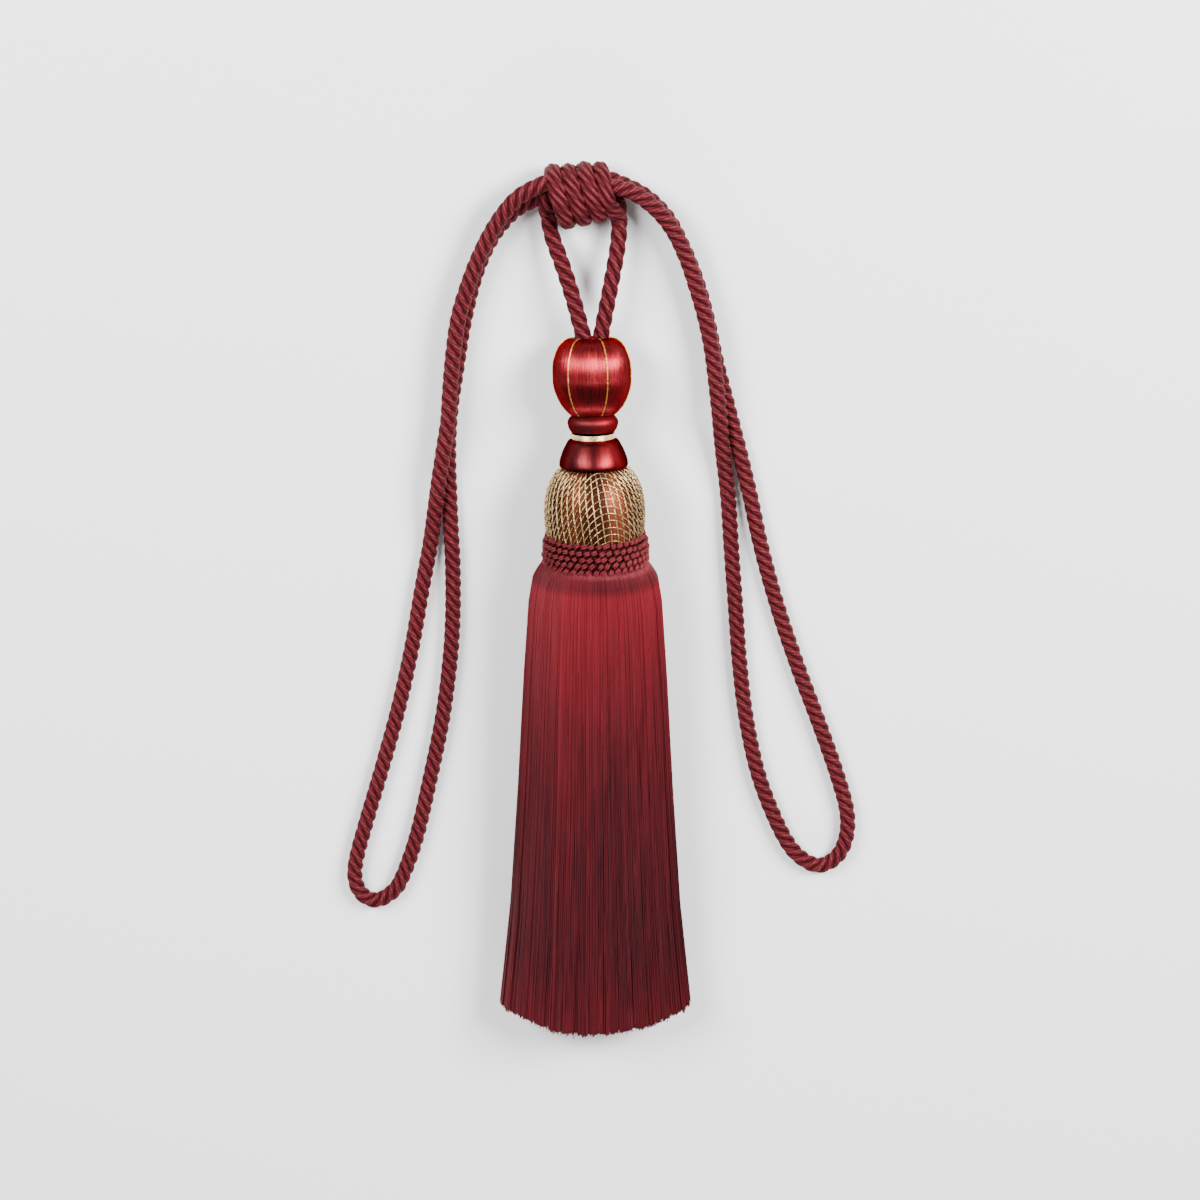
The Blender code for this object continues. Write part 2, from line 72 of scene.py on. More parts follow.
RIGHT_ARM_ROUTE = [
    (6.8, 185.3, 17.0), (15.4, 182.9, 16.6), (24.7, 176.0, 15.1), (32.2, 166.6, 13.3),
    (37.7, 155.3, 11.4), (42.3, 142.0, 11.0), (46.6, 127.0, 10.9), (49.4, 113.5, 10.9),
    (51.2, 100.0, 10.7), (52.7, 87.0, 10.4), (53.9, 74.4, 8.1), (55.4, 61.0, 5.3), (57.1, 46.8, 3.6),
    (58.8, 23.0, 3.6), (60.7, -1.2, 3.6), (62.8, -28.0, 3.6), (65.9, -54.0, 3.6), (70.8, -78.0, 3.6),
    (77.0, -96.5, 3.6), (84.6, -112.9, 3.6), (91.6, -121.2, 3.6), (99.6, -124.4, 3.6),
    (107.0, -120.2, 3.6), (111.0, -111.0, 3.6), (111.0, -98.5, 3.6), (106.4, -81.5, 3.6),
    (98.1, -57.6, 3.6), (87.8, -29.7, 3.6), (78.9, -2.8, 3.6), (71.6, 24.0, 3.6), (66.6, 47.0, 3.6),
    (61.5, 68.0, 3.6), (56.8, 86.0, 3.6), (51.6, 106.0, 3.6), (47.4, 125.3, 3.6), (42.6, 142.4, 3.6),
    (36.4, 157.8, 4.2), (29.9, 170.1, 6.4), (20.2, 180.0, 8.4), (7.2, 186.4, 9.3),
]
LEFT_LEG_ROUTE = [
    (-20.1, 171.6, 7.3), (-18.2, 161.9, 8.6), (-14.2, 151.0, 11.3), (-9.7, 137.5, 13.9),
    (-5.2, 120.9, 15.4),
]
RIGHT_LEG_ROUTE = [
    (9.5, 176.6, 8.3), (10.1, 168.0, 9.1), (9.2, 157.0, 10.9), (6.1, 140.0, 13.7), (2.4, 120.9, 15.4),
]
ROUTE_FINENESS = 24
# What runs on from each route's two ends, out of sight in the knot or the bulb.
LEAD_IN = {
    "arm_left": [(-13.5, 187.5, 16.0)],
    "arm_right": [(-0.5, 186.0, 15.5)],
    "leg_left": [(-19.2, 184.0, 12.4), (-20.6, 179.4, 12.2), (-20.6, 174.6, 9.6)],
    "leg_right": [(8.4, 180.5, 8.2)],
}
LEAD_OUT = {
    "arm_left": [(-13.5, 181.5, 10.0)],
    "arm_right": [(1.5, 187.5, 10.0)],
    "leg_left": [(-4.9, 119.7, 15.5)],
    "leg_right": [(2.2, 119.7, 15.5)],
}

# The knot's cord: (across, along) of its middle line at each top and bottom edge in turn, then where
# it runs down the right end into the hanger.
WRAP_EDGES = [
    (-16.0, 170.8), (-17.8, 190.2), (-11.5, 169.9), (-11.3, 190.3), (-4.8, 171.2), (-4.7, 191.2),
    (1.7, 172.6), (1.8, 191.1),
]
WRAP_LEVEL = 12.2
WRAP_HALF_HEIGHT = 8.7
WRAP_TAIL = [
    (3.0, 188.2, 17.4), (3.9, 182.6, 19.9), (5.3, 177.8, 17.6), (7.7, 173.6, 13.2), (9.5, 170.4, 10.2),
    (10.0, 167.6, 9.3), (10.0, 165.4, 9.4),
]

# The tassel's axis: how far it leans to the left, and its slope at each turned piece, in degrees.
HEAD_LEAN = 1.1
BULB_SLOPE = 9.4
BEAD_SLOPE = 8.5
FLARE_SLOPE = 5.0
BALL_SLOPE = 1.5
COLLAR_SLOPE = -3.5
# The gap between two turned pieces, the middle of the collar, and the pieces' lengths and radii.
GAP = 0.3
COLLAR_CENTRE = (0.0, 27.0, 22.9)
COLLAR_LENGTH = 16.4
BULB_LENGTH = 31.2
BEAD_LENGTH = 7.9
BEAD_EDGE_RADIUS = 9.2
BAND_WIDTH = 2.1
BAND_RADIUS = 9.7
FLARE_LENGTH = 12.0
BALL_LENGTH = 31.0
# How far the ball's foot stands in the collar, and the crown that the flare stands on: (height, radius).
BALL_TUCK = 2.7
BALL_CROWN = (1.2, 7.0)
BULB_FOOT_RADIUS = 10.2

# (distance from the top, radius) down the outside of each turned piece.
BULB_OUTLINE = [
    (3.2, 0.2), (2.6, 2.2), (0.7, 5.0), (0.0, 7.6), (0.2, 9.8), (1.3, 11.8), (3.4, 13.8), (6.0, 15.1),
    (9.0, 16.1), (12.5, 16.6), (16.5, 16.6), (19.5, 16.5), (22.5, 15.8), (25.5, 14.7), (28.5, 13.1),
    (30.6, 11.5), (32.3, 9.8), (32.7, 8.8), (32.7, 0.2),
]
BEAD_OUTLINE = [
    (1.3, 0.2), (1.2, 8.2), (1.6, 9.3), (2.6, 10.3), (4.2, 10.8), (5.9, 10.5), (7.2, 10.0), (7.9, 9.4),
    (8.1, 8.6), (8.0, 0.2),
]
FLARE_OUTLINE = [
    (-2.4, 0.2), (-2.4, 8.3), (0.0, 9.4), (0.8, 10.7), (3.2, 12.1), (6.0, 13.4), (8.6, 14.3),
    (10.9, 14.7), (11.9, 14.3), (12.1, 13.2), (11.6, 8.0), (11.6, 0.2),
]
BALL_OUTLINE = [
    (-1.9, 0.2), (-1.8, 8.0), (-1.7, 12.3), (-1.0, 14.0), (0.3, 15.4), (1.9, 16.7), (4.4, 18.2),
    (8.4, 19.7), (13.8, 20.7), (20.0, 20.9), (25.0, 20.6), (27.0, 20.2), (28.6, 19.3), (31.0, 18.4),
    (31.0, 0.2),
]

# The collar's rows of twists, in millimetres and degrees: (distance down, radius, slant, half length).
COLLAR_ROWS = [
    (-0.1, 20.9, 25, 1.6), (2.7, 21.8, 18, 1.55), (5.4, 22.1, 28, 1.6), (8.2, 22.1, 50, 1.75),
    (11.1, 22.0, 52, 1.85),
]
# How much further than the collar's own axis its rows lean towards the knot.
ROW_TILT = 5.0

# Bands of painted highlight and shade round the ball, from its underside: (place round it, share of the
# light silk).
BALL_LIGHT_AND_SHADE = [
    (0.33, 0.05), (0.38, 0.45), (0.43, 0.80), (0.45, 0.45), (0.47, 0.06), (0.535, 0.06), (0.553, 0.90),
    (0.60, 1.00), (0.63, 0.35), (0.66, 0.05),
]

# Bands of painted highlight and shade round the bead and the flare, in the same way.
FLARE_LIGHT_AND_SHADE = [(0.30, 0.80), (0.41, 0.15), (0.50, 0.55), (0.59, 1.40), (0.70, 0.90)]

# The skirt: (distance from the collar, half width, half height).
SKIRT_PROFILE = [
    (-6.0, 20.4, 20.4), (-4.8, 21.8, 21.6), (-3.4, 23.4, 22.6), (-1.0, 24.9, 22.9), (1.5, 26.1, 23.0),
    (4.4, 27.2, 22.9), (7.0, 27.8, 22.7), (14.0, 28.6, 22.3), (30.0, 29.9, 21.7), (60.0, 31.6, 20.6),
    (98.0, 33.7, 19.3), (135.0, 35.8, 18.0), (174.0, 39.0, 16.6), (204.0, 42.6, 15.6),
]
# How far the hem is from the collar and how much further in its middle, and how much the skirt
# flattens where it lies.
HEM_AT = 204.0
HEM_CURVE = 9.0
SETTLE = 0.6

# How finely the ropes are made: sides of a ply, rings in one lead, rings for each edge of the knot, and
# the fibres that are crossed along one lead.
PLY_SIDES = 9
RINGS_PER_LEAD = 22
RINGS_PER_EDGE = 42
FIBRES_PER_LEAD = 5.0
# The knot's cord starts this far into its first stretch, out of sight.
WRAP_START = 0.35
# What fills the knot: (its two ends across), its middle along, and half its size along and upwards.
KNOT_CORE = ((-16.5, 3.5), 179.9, 7.0, 5.8)

# Gold: the lines down the bulb and how far round from the top of it the first lies in degrees, the
# turns of the band, the radius of the thread in the band and of a knot in the net, the part of the
# ball that the net covers, how far outside the ball it runs, and how far its strands and knots stand
# out from there.
GOLD_LINES = 6
FIRST_LINE = 23.5
BAND_TURNS = 5
BAND_THREAD = 0.27
NET_KNOT = 0.34
NET_ENDS = (-1.75, 31)
NET_LIFT = 0.25
STRAND_LIFT = 0.2
KNOT_LIFT = 0.25

# The gimp's twists: from a twist's middle to each of its two strands, a strand's width as a share of
# its radius, how far each row is shifted round from the last, the lowest that a strand lies, and how
# far a twist strays in place round the row, in lean, outwards, down and in length.
GIMP_STRAND_GAP = 0.44
GIMP_WIDTH = 0.58
ROW_SHIFT = 0.37
LOWEST_GIMP = 1.1
GIMP_STRAYS = (0.06, 0.14, 0.12, 0.12, 0.08)
# The braid under the twists: its two ends, how far under the rows it lies, and its waves.
BRAID_ENDS = (-1.0, 13.4)
BRAID_DEPTH = 0.75
BRAID_WAVE = 0.3

# How far from the collar a long thread of the skirt has its points, where its length starts to vary,
# and by how many threads each layer is smaller than the one over it.
SKIRT_STATIONS = [-5.8, -4.0, -1.5, 3.5, 14.5, 48.0, 100.0, 156.0, HEM_AT]
ROOT_END = 14
FEWER_THREADS = 600
# As shares of the skirt's size: from one layer to the next, and how deep threads and locks lie in one.
LAYER_STEP = 0.035
THREAD_DEPTH = 0.04
LOCK_DEPTH = 0.02
# How unevenly threads are cut, how far they drift and waver round the skirt and gather in their locks.
CUT_STRAY = 0.7
DRIFT = 0.022
WAVER = 0.008
GATHER = 0.3
# The cut ends: how long they are, how unevenly cut, and how far out they fill the hem.
TIP_LENGTH = 26
TIP_STRAY = 0.8
TIP_REACH = 0.93
# The fullness under the threads: its two ends from the collar, and its size as a share of the skirt's.
UNDER_ENDS = (-5.0, 190)
UNDER_SIZE = 0.9

# The colour of the shine on dyed thread, and on wound silk.
THREAD_SHINE = (1.0, 0.28, 0.32, 1)
SILK_SHINE = (0.16, 0.10, 0.11, 1)

# The camera in metres and degrees, the point that the lamps face, and the right lamp's share of the
# light from above.
CAMERA_PLACE = (0.001935, 0.56153, 1.7339)
CAMERA_LENS = 125.58
CAMERA_TILT = -18
LIT_POINT = (0.0, 0.03, 0.0)
RIGHT_SHARE = 0.61


# Settings


def setting(name, description, default, **kind):
    """A property that holds a size or a count, or a colour where its default has three parts."""
    if isinstance(default, tuple):
        return bpy.props.FloatVectorProperty(
            name=name, description=description, default=default, subtype="COLOR"
        )
    made = bpy.props.IntProperty if isinstance(default, int) else bpy.props.FloatProperty
    return made(name=name, description=description, default=default, **kind)


class TiebackRope(bpy.types.PropertyGroup):
    """The twisted rope of the loops, the hanger and the knot."""

    radius: setting("Radius", "Half the rope's thickness", 0.00355, unit="LENGTH")
    plies: setting("Plies", "Plies twisted together", 4)
    arm_lead: setting("Loop lead", "Length of one turn in the loops", 0.0193, unit="LENGTH")
    leg_lead: setting("Hanger lead", "Length of one turn in the hanger", 0.024, unit="LENGTH")
    fullness: setting("Ply fullness", "Share of the radius that is ply", 0.5, subtype="FACTOR")
    # The light yarn stands for painted highlight on the crests and the dark yarn for painted shade in the
    # grooves.
    light: setting("Light yarn", "Yarn on the crests", (0.175, 0.0225, 0.031))
    dark: setting("Dark yarn", "Yarn in the grooves", (0.018, 0.0018, 0.0036))
    warm: setting("Warm yarn", "Browner stretches of yarn", (0.15, 0.038, 0.026))


class TiebackKnot(bpy.types.PropertyGroup):
    """The barrel knot."""

    radius: setting("Cord radius", "Half the thickness of the cord wound in it", 0.0039, unit="LENGTH")
    plies: setting("Strands", "Strands that show round its cord", 7)
    lead: setting("Lead", "Length of one turn of its strands", 0.04, unit="LENGTH")
    fullness: setting("Strand fullness", "Share of the radius that is strand", 0.36, subtype="FACTOR")


class TiebackSilk(bpy.types.PropertyGroup):
    """The silk wound on the moulds."""

    pitch: setting("Thread pitch", "From one silk thread to the next", 0.00042, unit="LENGTH")
    depth: setting("Thread depth", "Depth between two silk threads", 0.0001, unit="LENGTH")
    light: setting("Light silk", "Silk's lighter threads", (0.30, 0.013, 0.018))
    dark: setting("Dark silk", "Silk's darker threads", (0.098, 0.019, 0.022))
    net_light: setting("Light silk under the net", "Lighter bands of the ball", (0.27, 0.060, 0.026))
    net_dark: setting("Dark silk under the net", "Darker bands of the ball", (0.028, 0.007, 0.003))


class TiebackGold(bpy.types.PropertyGroup):
    """Gold thread, and the net made of it."""

    thread: setting("Thread radius", "Radius of the gold thread", 0.00026, unit="LENGTH")
    light: setting("Light gold", "Gold's bright turns", (0.92, 0.62, 0.30))
    dark: setting("Dark gold", "Gold's dull turns", (0.10, 0.06, 0.018))
    orange: setting("Orange gold", "Thread laid down the bulb", (1.0, 0.42, 0.06))
    pale: setting("Pale gold", "Thread wound in the band", (1.0, 0.78, 0.42))
    chains: setting("Chains", "Chains round the net", 44)
    mesh_length: setting("Mesh length", "From one rung to the next", 0.0031, unit="LENGTH")
    spiral: setting("Spiral", "Turn of the net from top to foot", 0.2, subtype="ANGLE")
    crown: setting("Crown", "Where the net's rows are highest", 0.29, subtype="ANGLE")
    curl: setting("Curl", "How fast the rows sink beside it", 1.3)
    steepest: setting("Steepest", "Slope of the rows far from it", 1.5)


class TiebackCollar(bpy.types.PropertyGroup):
    """The collar of gimp."""

    loops: setting("Loops", "Twists in one row", 42)


class TiebackSkirt(bpy.types.PropertyGroup):
    """The skirt of cut fringe."""

    layers: setting("Layers", "Layers of long threads", 3)
    threads: setting("Threads", "Long threads in the outer layer", 2700)
    tips: setting("Tips", "Cut ends that fill the hem", 5000)
    thread: setting("Thread radius", "Radius of a thread", 0.00021, unit="LENGTH")
    locks: setting("Locks", "Locks that the threads gather in", 120)
    # The light thread by the collar fading to the dark thread by the hem is painted shade.
    light: setting("Light thread", "Threads by the collar", (0.20, 0.0145, 0.022))
    dark: setting("Dark thread", "Threads by the hem", (0.031, 0.0097, 0.0120))


class TiebackStage(bpy.types.PropertyGroup):
    """The surface, the lights and the camera."""

    floor: setting("Surface", "Colour of the surface", (0.92, 0.92, 0.92))
    key: setting("Soft boxes", "Power of the two lights above the knot", 116.0, unit="POWER")
    fill: setting("Fill light", "Power of the low light beyond the hem", 8.0, unit="POWER")
    sky: setting("Sky", "Strength of the light all round", 0.13)


# Shapes


def unit(vectors):
    """The vectors at length one."""
    return vectors / np.linalg.norm(vectors, axis=-1, keepdims=True)


def stacked(*parts):
    """Points from their coordinates, which are spread to one shape."""
    return np.stack(np.broadcast_arrays(*parts), axis=-1)


def evenly_round(count):
    """This many angles, evenly spaced round one turn."""
    return TURN * np.arange(count) / count


def smooth_points(given, fineness):
    """Points of the smooth curve through the given ones, with this many for each stretch."""
    given = np.asarray(given, float)
    given = np.vstack([2 * given[0] - given[1], given, 2 * given[-1] - given[-2]])
    a, b, c, d = given[:-3, None], given[1:-2, None], given[2:-1, None], given[3:, None]
    t = (np.arange(fineness) / fineness)[None, :, None]
    even = 2 * b + (c - a) * t
    bend = (2 * a - 5 * b + 4 * c - d) * t**2 + (3 * b - a - 3 * c + d) * t**3
    return np.vstack([((even + bend) / 2).reshape(-1, given.shape[1]), given[-2]])


def travelled(points):
    """The distance along a line of points, at each of them."""
    steps = np.linalg.norm(np.diff(points, axis=0), axis=1)
    return np.concatenate([[0.0], np.cumsum(steps)])


def even_points(points, count):
    """The same line with this many points, evenly spaced."""
    along = travelled(points)
    wanted = np.linspace(0, along[-1], count)
    return np.stack([np.interp(wanted, along, points[:, axis]) for axis in range(3)], axis=1)


def carried_frames(points):
    """Two directions across a line at each point, carried along it without turning."""
    ahead = unit(np.gradient(points, axis=0))
    side = np.cross(ahead[0], (0.0, 0.0, 1.0))
    if np.linalg.norm(side) < 0.1:
        side = np.cross(ahead[0], (0.0, 1.0, 0.0))
    sides = []
    for direction in ahead:
        side = unit(side - direction * np.dot(side, direction))
        sides.append(side)
    sides = np.array(sides)
    return sides, np.cross(ahead, sides)


def skin(name, rings, surface):
    """A smooth mesh, closed at both ends, over rings of points that run counter-clockwise seen from
    the last ring. Its UV map counts once round and once along."""
    rows, columns = rings.shape[:2]
    row, column = np.meshgrid(np.arange(rows - 1), np.arange(columns), indexing="ij")
    first, second = row * columns + column, row * columns + (column + 1) % columns
    faces = np.stack([first, second, second + columns, first + columns], axis=-1).reshape(-1, 4).tolist()
    faces.append(list(range(columns - 1, -1, -1)))
    faces.append(list(range((rows - 1) * columns, rows * columns)))
    around = np.stack([column, column + 1, column + 1, column], axis=-1).reshape(-1) / columns
    along = np.stack([row, row, row + 1, row + 1], axis=-1).reshape(-1) / (rows - 1)
    around = np.concatenate([around, np.zeros(2 * columns)])
    along = np.concatenate([along, np.zeros(columns), np.ones(columns)])
    mesh = bpy.data.meshes.new(name)
    mesh.from_pydata(rings.reshape(-1, 3).tolist(), [], faces)
    layer = mesh.uv_layers.new(name="UVMap")
    layer.data.foreach_set("uv", stacked(around, along).astype(np.float32).ravel())
    mesh.shade_smooth()
    mesh.materials.append(surface)
    return mesh


def put(name, data):
    """An object that holds this data, in the scene."""
    result = bpy.data.objects.new(name, data)
    bpy.context.scene.collection.objects.link(result)
    return result


def show(mesh, replaced):
    """Puts a finished mesh in the scene, riding on the frame in place of its solids."""
    piece = put(mesh.name, mesh)
    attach(piece, BODY)
    if replaced:
        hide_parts(*replaced)
    return piece


# The tassel's axis


def up_the_axis(slope):
    """The direction along the axis towards the knot, where the axis has this slope."""
    lean, tilt = math.radians(HEAD_LEAN), math.radians(slope)
    flat = math.cos(tilt)
    return Vector((-math.sin(lean) * flat, math.cos(lean) * flat, -math.sin(tilt)))


def placed(top, slope):
    """The place of a turned piece whose top is at top and whose local +Z runs up the axis."""
    turn = Matrix.Rotation(math.radians(HEAD_LEAN), 4, "Z")
    tip = Matrix.Rotation(-math.radians(90 + slope), 4, "X")
    return Matrix.Translation(top * MM) @ turn @ tip


def joint_gap(radius, slope, next_slope):
    """The gap on the axis that leaves GAP at this radius, where the axis bends between two pieces."""
    return GAP + radius * math.tan(math.radians(abs(slope - next_slope)))


def axis_places():
    """The place of each turned piece, walked from the collar up to the bulb."""
    crown, crown_radius = BALL_CROWN
    under_flare = joint_gap(crown_radius, FLARE_SLOPE, BALL_SLOPE) + crown
    under_bead = joint_gap(BEAD_EDGE_RADIUS, BEAD_SLOPE, FLARE_SLOPE)
    under_bulb = joint_gap(BULB_FOOT_RADIUS, BULB_SLOPE, BEAD_SLOPE)
    collar = Vector(COLLAR_CENTRE) + COLLAR_LENGTH / 2 * up_the_axis(COLLAR_SLOPE)
    ball = collar - BALL_TUCK * up_the_axis(COLLAR_SLOPE) + BALL_LENGTH * up_the_axis(BALL_SLOPE)
    flare = ball + (under_flare + FLARE_LENGTH) * up_the_axis(FLARE_SLOPE)
    band = flare + (BAND_WIDTH + GAP) * up_the_axis(FLARE_SLOPE)
    bead = band + (BEAD_LENGTH + under_bead) * up_the_axis(BEAD_SLOPE)
    bulb = bead + (BULB_LENGTH + under_bulb) * up_the_axis(BULB_SLOPE)
    return {
        "collar": placed(collar, COLLAR_SLOPE),
        "ball": placed(ball, BALL_SLOPE),
        "flare": placed(flare, FLARE_SLOPE),
        "band": placed(band, FLARE_SLOPE),
        "bead": placed(bead, BEAD_SLOPE),
        "bulb": placed(bulb, BULB_SLOPE),
    }


def moved(points, place):
    """Local points in millimetres, in the frame in metres."""
    turn = np.array(place.to_3x3())
    return np.asarray(points) * MM @ turn.T + np.array(place.translation)


def turned(radius, angle, down, place):
    """Points round a turned piece's axis, at these radii, angles and distances from its top."""
    return moved(stacked(radius * np.cos(angle), radius * np.sin(angle), -down), place)


# Trees of nodes


SOCKET_KINDS = {float: "NodeSocketFloat", int: "NodeSocketInt", tuple: "NodeSocketColor"}
SMOOTHED, MADE_REAL = "GeometryNodeSetShadeSmooth", "GeometryNodeRealizeInstances"


def new_tree(name, kind, inputs, outputs):
    """An empty node group. Each input has its default, or its socket type where it has none, and each
    output its socket type."""
    tree = bpy.data.node_groups.new(name, kind)
    for label, given in inputs.items():
        bare = isinstance(given, str)
        socket_type = given if bare else SOCKET_KINDS[type(given)]
        socket = tree.interface.new_socket(name=label, in_out="INPUT", socket_type=socket_type)
        if not bare:
            socket.default_value = given
    for label, socket_type in outputs.items():
        tree.interface.new_socket(name=label, in_out="OUTPUT", socket_type=socket_type)
    return tree


def feed(socket, value):
    """Links another socket to this one, or sets it to a value."""
    if isinstance(value, bpy.types.NodeSocket):
        socket.id_data.links.new(value, socket)
    else:
        socket.default_value = value


def add_node(tree, kind, inputs=None, **settings):
    """A node of this kind with these settings, fed with these inputs."""
    node = tree.nodes.new(kind)
    for key, value in settings.items():
        setattr(node, key, value)
    for key, value in (inputs or {}).items():
        feed(node.inputs[key], value)
    return node


def shape_tree(name, inputs):
    """A group that makes geometry from geometry and paints it, and the outputs of its input node."""
    inputs = {"Geometry": "NodeSocketGeometry", **inputs, "Material": "NodeSocketMaterial"}
    tree = new_tree(name, "GeometryNodeTree", inputs, {"Geometry": "NodeSocketGeometry"})
    return tree, add_node(tree, "NodeGroupInput").outputs


def kept_value(tree, name, kind):
    """The named attribute of the points."""
    node = add_node(tree, "GeometryNodeInputNamedAttribute", {"Name": name}, data_type=kind)
    return node.outputs["Attribute"]


def painted(tree, geometry, surface, steps):
    """Ends a group that makes geometry: smooth and real, in the order of steps, and painted."""
    for step in steps:
        geometry = add_node(tree, step, {"Geometry": geometry}).outputs["Geometry"]
    paint = add_node(tree, "GeometryNodeSetMaterial", {"Geometry": geometry, "Material": surface})
    add_node(tree, "NodeGroupOutput", {"Geometry": paint.outputs["Geometry"]})
    return tree


def thread_tree():
    """Turns lines into threads: a round section along each line, thick where its attribute says."""
    tree, given = shape_tree("Thread Tubes", {"Radius": 0.0003, "Sides": 3})
    curve = add_node(tree, "GeometryNodeMeshToCurve", {"Mesh": given["Geometry"]})
    size = {"Resolution": given["Sides"], "Radius": given["Radius"]}
    section = add_node(tree, "GeometryNodeCurvePrimitiveCircle", size)
    along = {
        "Curve": curve.outputs["Curve"],
        "Profile Curve": section.outputs["Curve"],
        "Scale": kept_value(tree, "thick", "FLOAT"),
        "Fill Caps": True,
    }
    tube = add_node(tree, "GeometryNodeCurveToMesh", along)
    return painted(tree, tube.outputs["Mesh"], given["Material"], (SMOOTHED, MADE_REAL))


def stitch_tree():
    """Puts one small round stitch on each point, turned and stretched as its attributes say."""
    sizes = {"Radius": 0.001, "Segments": 10, "Rings": 6, "Least Size": 0.94, "Seed": 3}
    tree, given = shape_tree("Stitches", sizes)
    points = add_node(tree, "GeometryNodeMeshToPoints", {"Mesh": given["Geometry"]})
    sizes = {label: given[label] for label in ("Radius", "Segments", "Rings")}
    stitch = add_node(tree, "GeometryNodeMeshUVSphere", sizes)
    least = {2: given["Least Size"], "Seed": given["Seed"]}
    chance = add_node(tree, "FunctionNodeRandomValue", least, data_type="FLOAT")
    stretch = kept_value(tree, "stretch", "FLOAT_VECTOR")
    size = {"Vector": stretch, "Scale": chance.outputs[1]}
    size = add_node(tree, "ShaderNodeVectorMath", size, operation="SCALE")
    turn = {"Euler": kept_value(tree, "turn", "FLOAT_VECTOR")}
    turn = add_node(tree, "FunctionNodeEulerToRotation", turn)
    laid = {
        "Points": points.outputs["Points"],
        "Instance": stitch.outputs["Mesh"],
        "Rotation": turn.outputs["Rotation"],
        "Scale": size.outputs["Vector"],
    }
    laid = add_node(tree, "GeometryNodeInstanceOnPoints", laid)
    return painted(tree, laid.outputs["Instances"], given["Material"], (MADE_REAL, SMOOTHED))


def shared_tree(name, maker):
    """The node group of this name, made once."""
    return bpy.data.node_groups.get(name) or maker()


def grown(name, mesh, tree, values):
    """The mesh that a tree of nodes makes of this one with these values for its named inputs."""
    holder = put(name, mesh)
    modifier = holder.modifiers.new(tree.name, "NODES")
    modifier.node_group = tree
    for socket in tree.interface.items_tree:
        if socket.in_out == "INPUT" and socket.name in values:
            modifier[socket.identifier] = values[socket.name]
    holder.update_tag()
    graph = bpy.context.evaluated_depsgraph_get()
    result = bpy.data.meshes.new_from_object(holder.evaluated_get(graph), depsgraph=graph)
    bpy.data.objects.remove(holder)
    bpy.data.meshes.remove(mesh)
    result.name = name
    return result


def line_mesh(name, lines, attributes):
    """A mesh of open lines, all with the same number of points, and their point attributes."""
    lines = np.asarray(lines)
    count, length = lines.shape[:2]
    first = (np.arange(count)[:, None] * length + np.arange(length - 1)[None, :]).reshape(-1)
    mesh = bpy.data.meshes.new(name)
    mesh.from_pydata(lines.reshape(-1, 3).tolist(), stacked(first, first + 1).tolist(), [])
    for key, values in {"thick": 1.0, **attributes}.items():
        layer = mesh.attributes.new(key, "FLOAT", "POINT")
        spread = np.broadcast_to(values, (count, length))
        layer.data.foreach_set("value", spread.astype(np.float32).ravel())
    return mesh


def threads(name, lines, radius, sides, surface, **attributes):
    """A mesh of round threads along lines of points."""
    tree = shared_tree("Thread Tubes", thread_tree)
    values = {"Radius": radius, "Sides": sides, "Material": surface}
    return grown(name, line_mesh(name, lines, attributes), tree, values)


def stitches(name, points, turns, stretches, radius, surface, fineness):
    """A mesh of small round stitches on points, each turned and stretched."""
    mesh = bpy.data.meshes.new(name)
    mesh.from_pydata(np.asarray(points).tolist(), [], [])
    for key, values in (("turn", turns), ("stretch", stretches)):
        layer = mesh.attributes.new(key, "FLOAT_VECTOR", "POINT")
        layer.data.foreach_set("vector", np.asarray(values, np.float32).ravel())
    tree = shared_tree("Stitches", stitch_tree)
    values = {"Radius": radius, "Segments": fineness[0], "Rings": fineness[1], "Material": surface}
    return grown(name, mesh, tree, values)


# Materials


def uv_parts(tree):
    """How far round and how far along the piece, from its UV map."""
    place = add_node(tree, "ShaderNodeUVMap", uv_map="UVMap")
    parts = add_node(tree, "ShaderNodeSeparateXYZ", {"Vector": place.outputs["UV"]})
    return parts.outputs["X"], parts.outputs["Y"]


def object_place(tree):
    """The place on the piece."""
    return add_node(tree, "ShaderNodeTexCoord").outputs["Object"]


def noise(vector, scale, detail=2.0):
    """A noise texture on this vector."""
    inputs = {"Vector": vector, "Scale": scale, "Detail": detail}
    return add_node(vector.id_data, "ShaderNodeTexNoise", inputs).outputs["Fac"]


def maths(operation, first, *second):
    """A math node on a socket and sockets or numbers."""
    inputs = dict(enumerate((first, *second)))
    return add_node(first.id_data, "ShaderNodeMath", inputs, operation=operation).outputs[0]


def times(first, second):
    """The product of a socket and a socket or number."""
    return maths("MULTIPLY", first, second)


def plus(first, second):
    """The sum of a socket and a socket or number."""
    return maths("ADD", first, second)


def crest(socket):
    """Waves with a pointed crest at each whole number, down to nothing half way between."""
    return times(maths("ABSOLUTE", maths("SUBTRACT", maths("FRACT", socket), 0.5)), 2.0)


def remapped(value, low, high, new_low=0.0, new_high=1.0):
    """The value stretched from one range to another, and held inside it."""
    inputs = {"Value": value, "From Min": low, "From Max": high, "To Min": new_low, "To Max": new_high}
    return add_node(value.id_data, "ShaderNodeMapRange", inputs).outputs["Result"]


def mixed(share, first, second):
    """A colour between two sockets."""
    inputs = {0: share, 6: first, 7: second}
    return add_node(share.id_data, "ShaderNodeMix", inputs, data_type="RGBA").outputs[2]


def surface_tree(name, **inputs):
    """A group that puts out a surface's colour, roughness and height, and its input node's outputs."""
    inputs = {"Light": (0.5, 0.1, 0.1, 1), "Dark": (0.1, 0.01, 0.02, 1), **inputs}
    outputs = {"Colour": "NodeSocketColor", "Roughness": "NodeSocketFloat", "Height": "NodeSocketFloat"}
    tree = new_tree(name, "ShaderNodeTree", inputs, outputs)
    return tree, add_node(tree, "NodeGroupInput").outputs


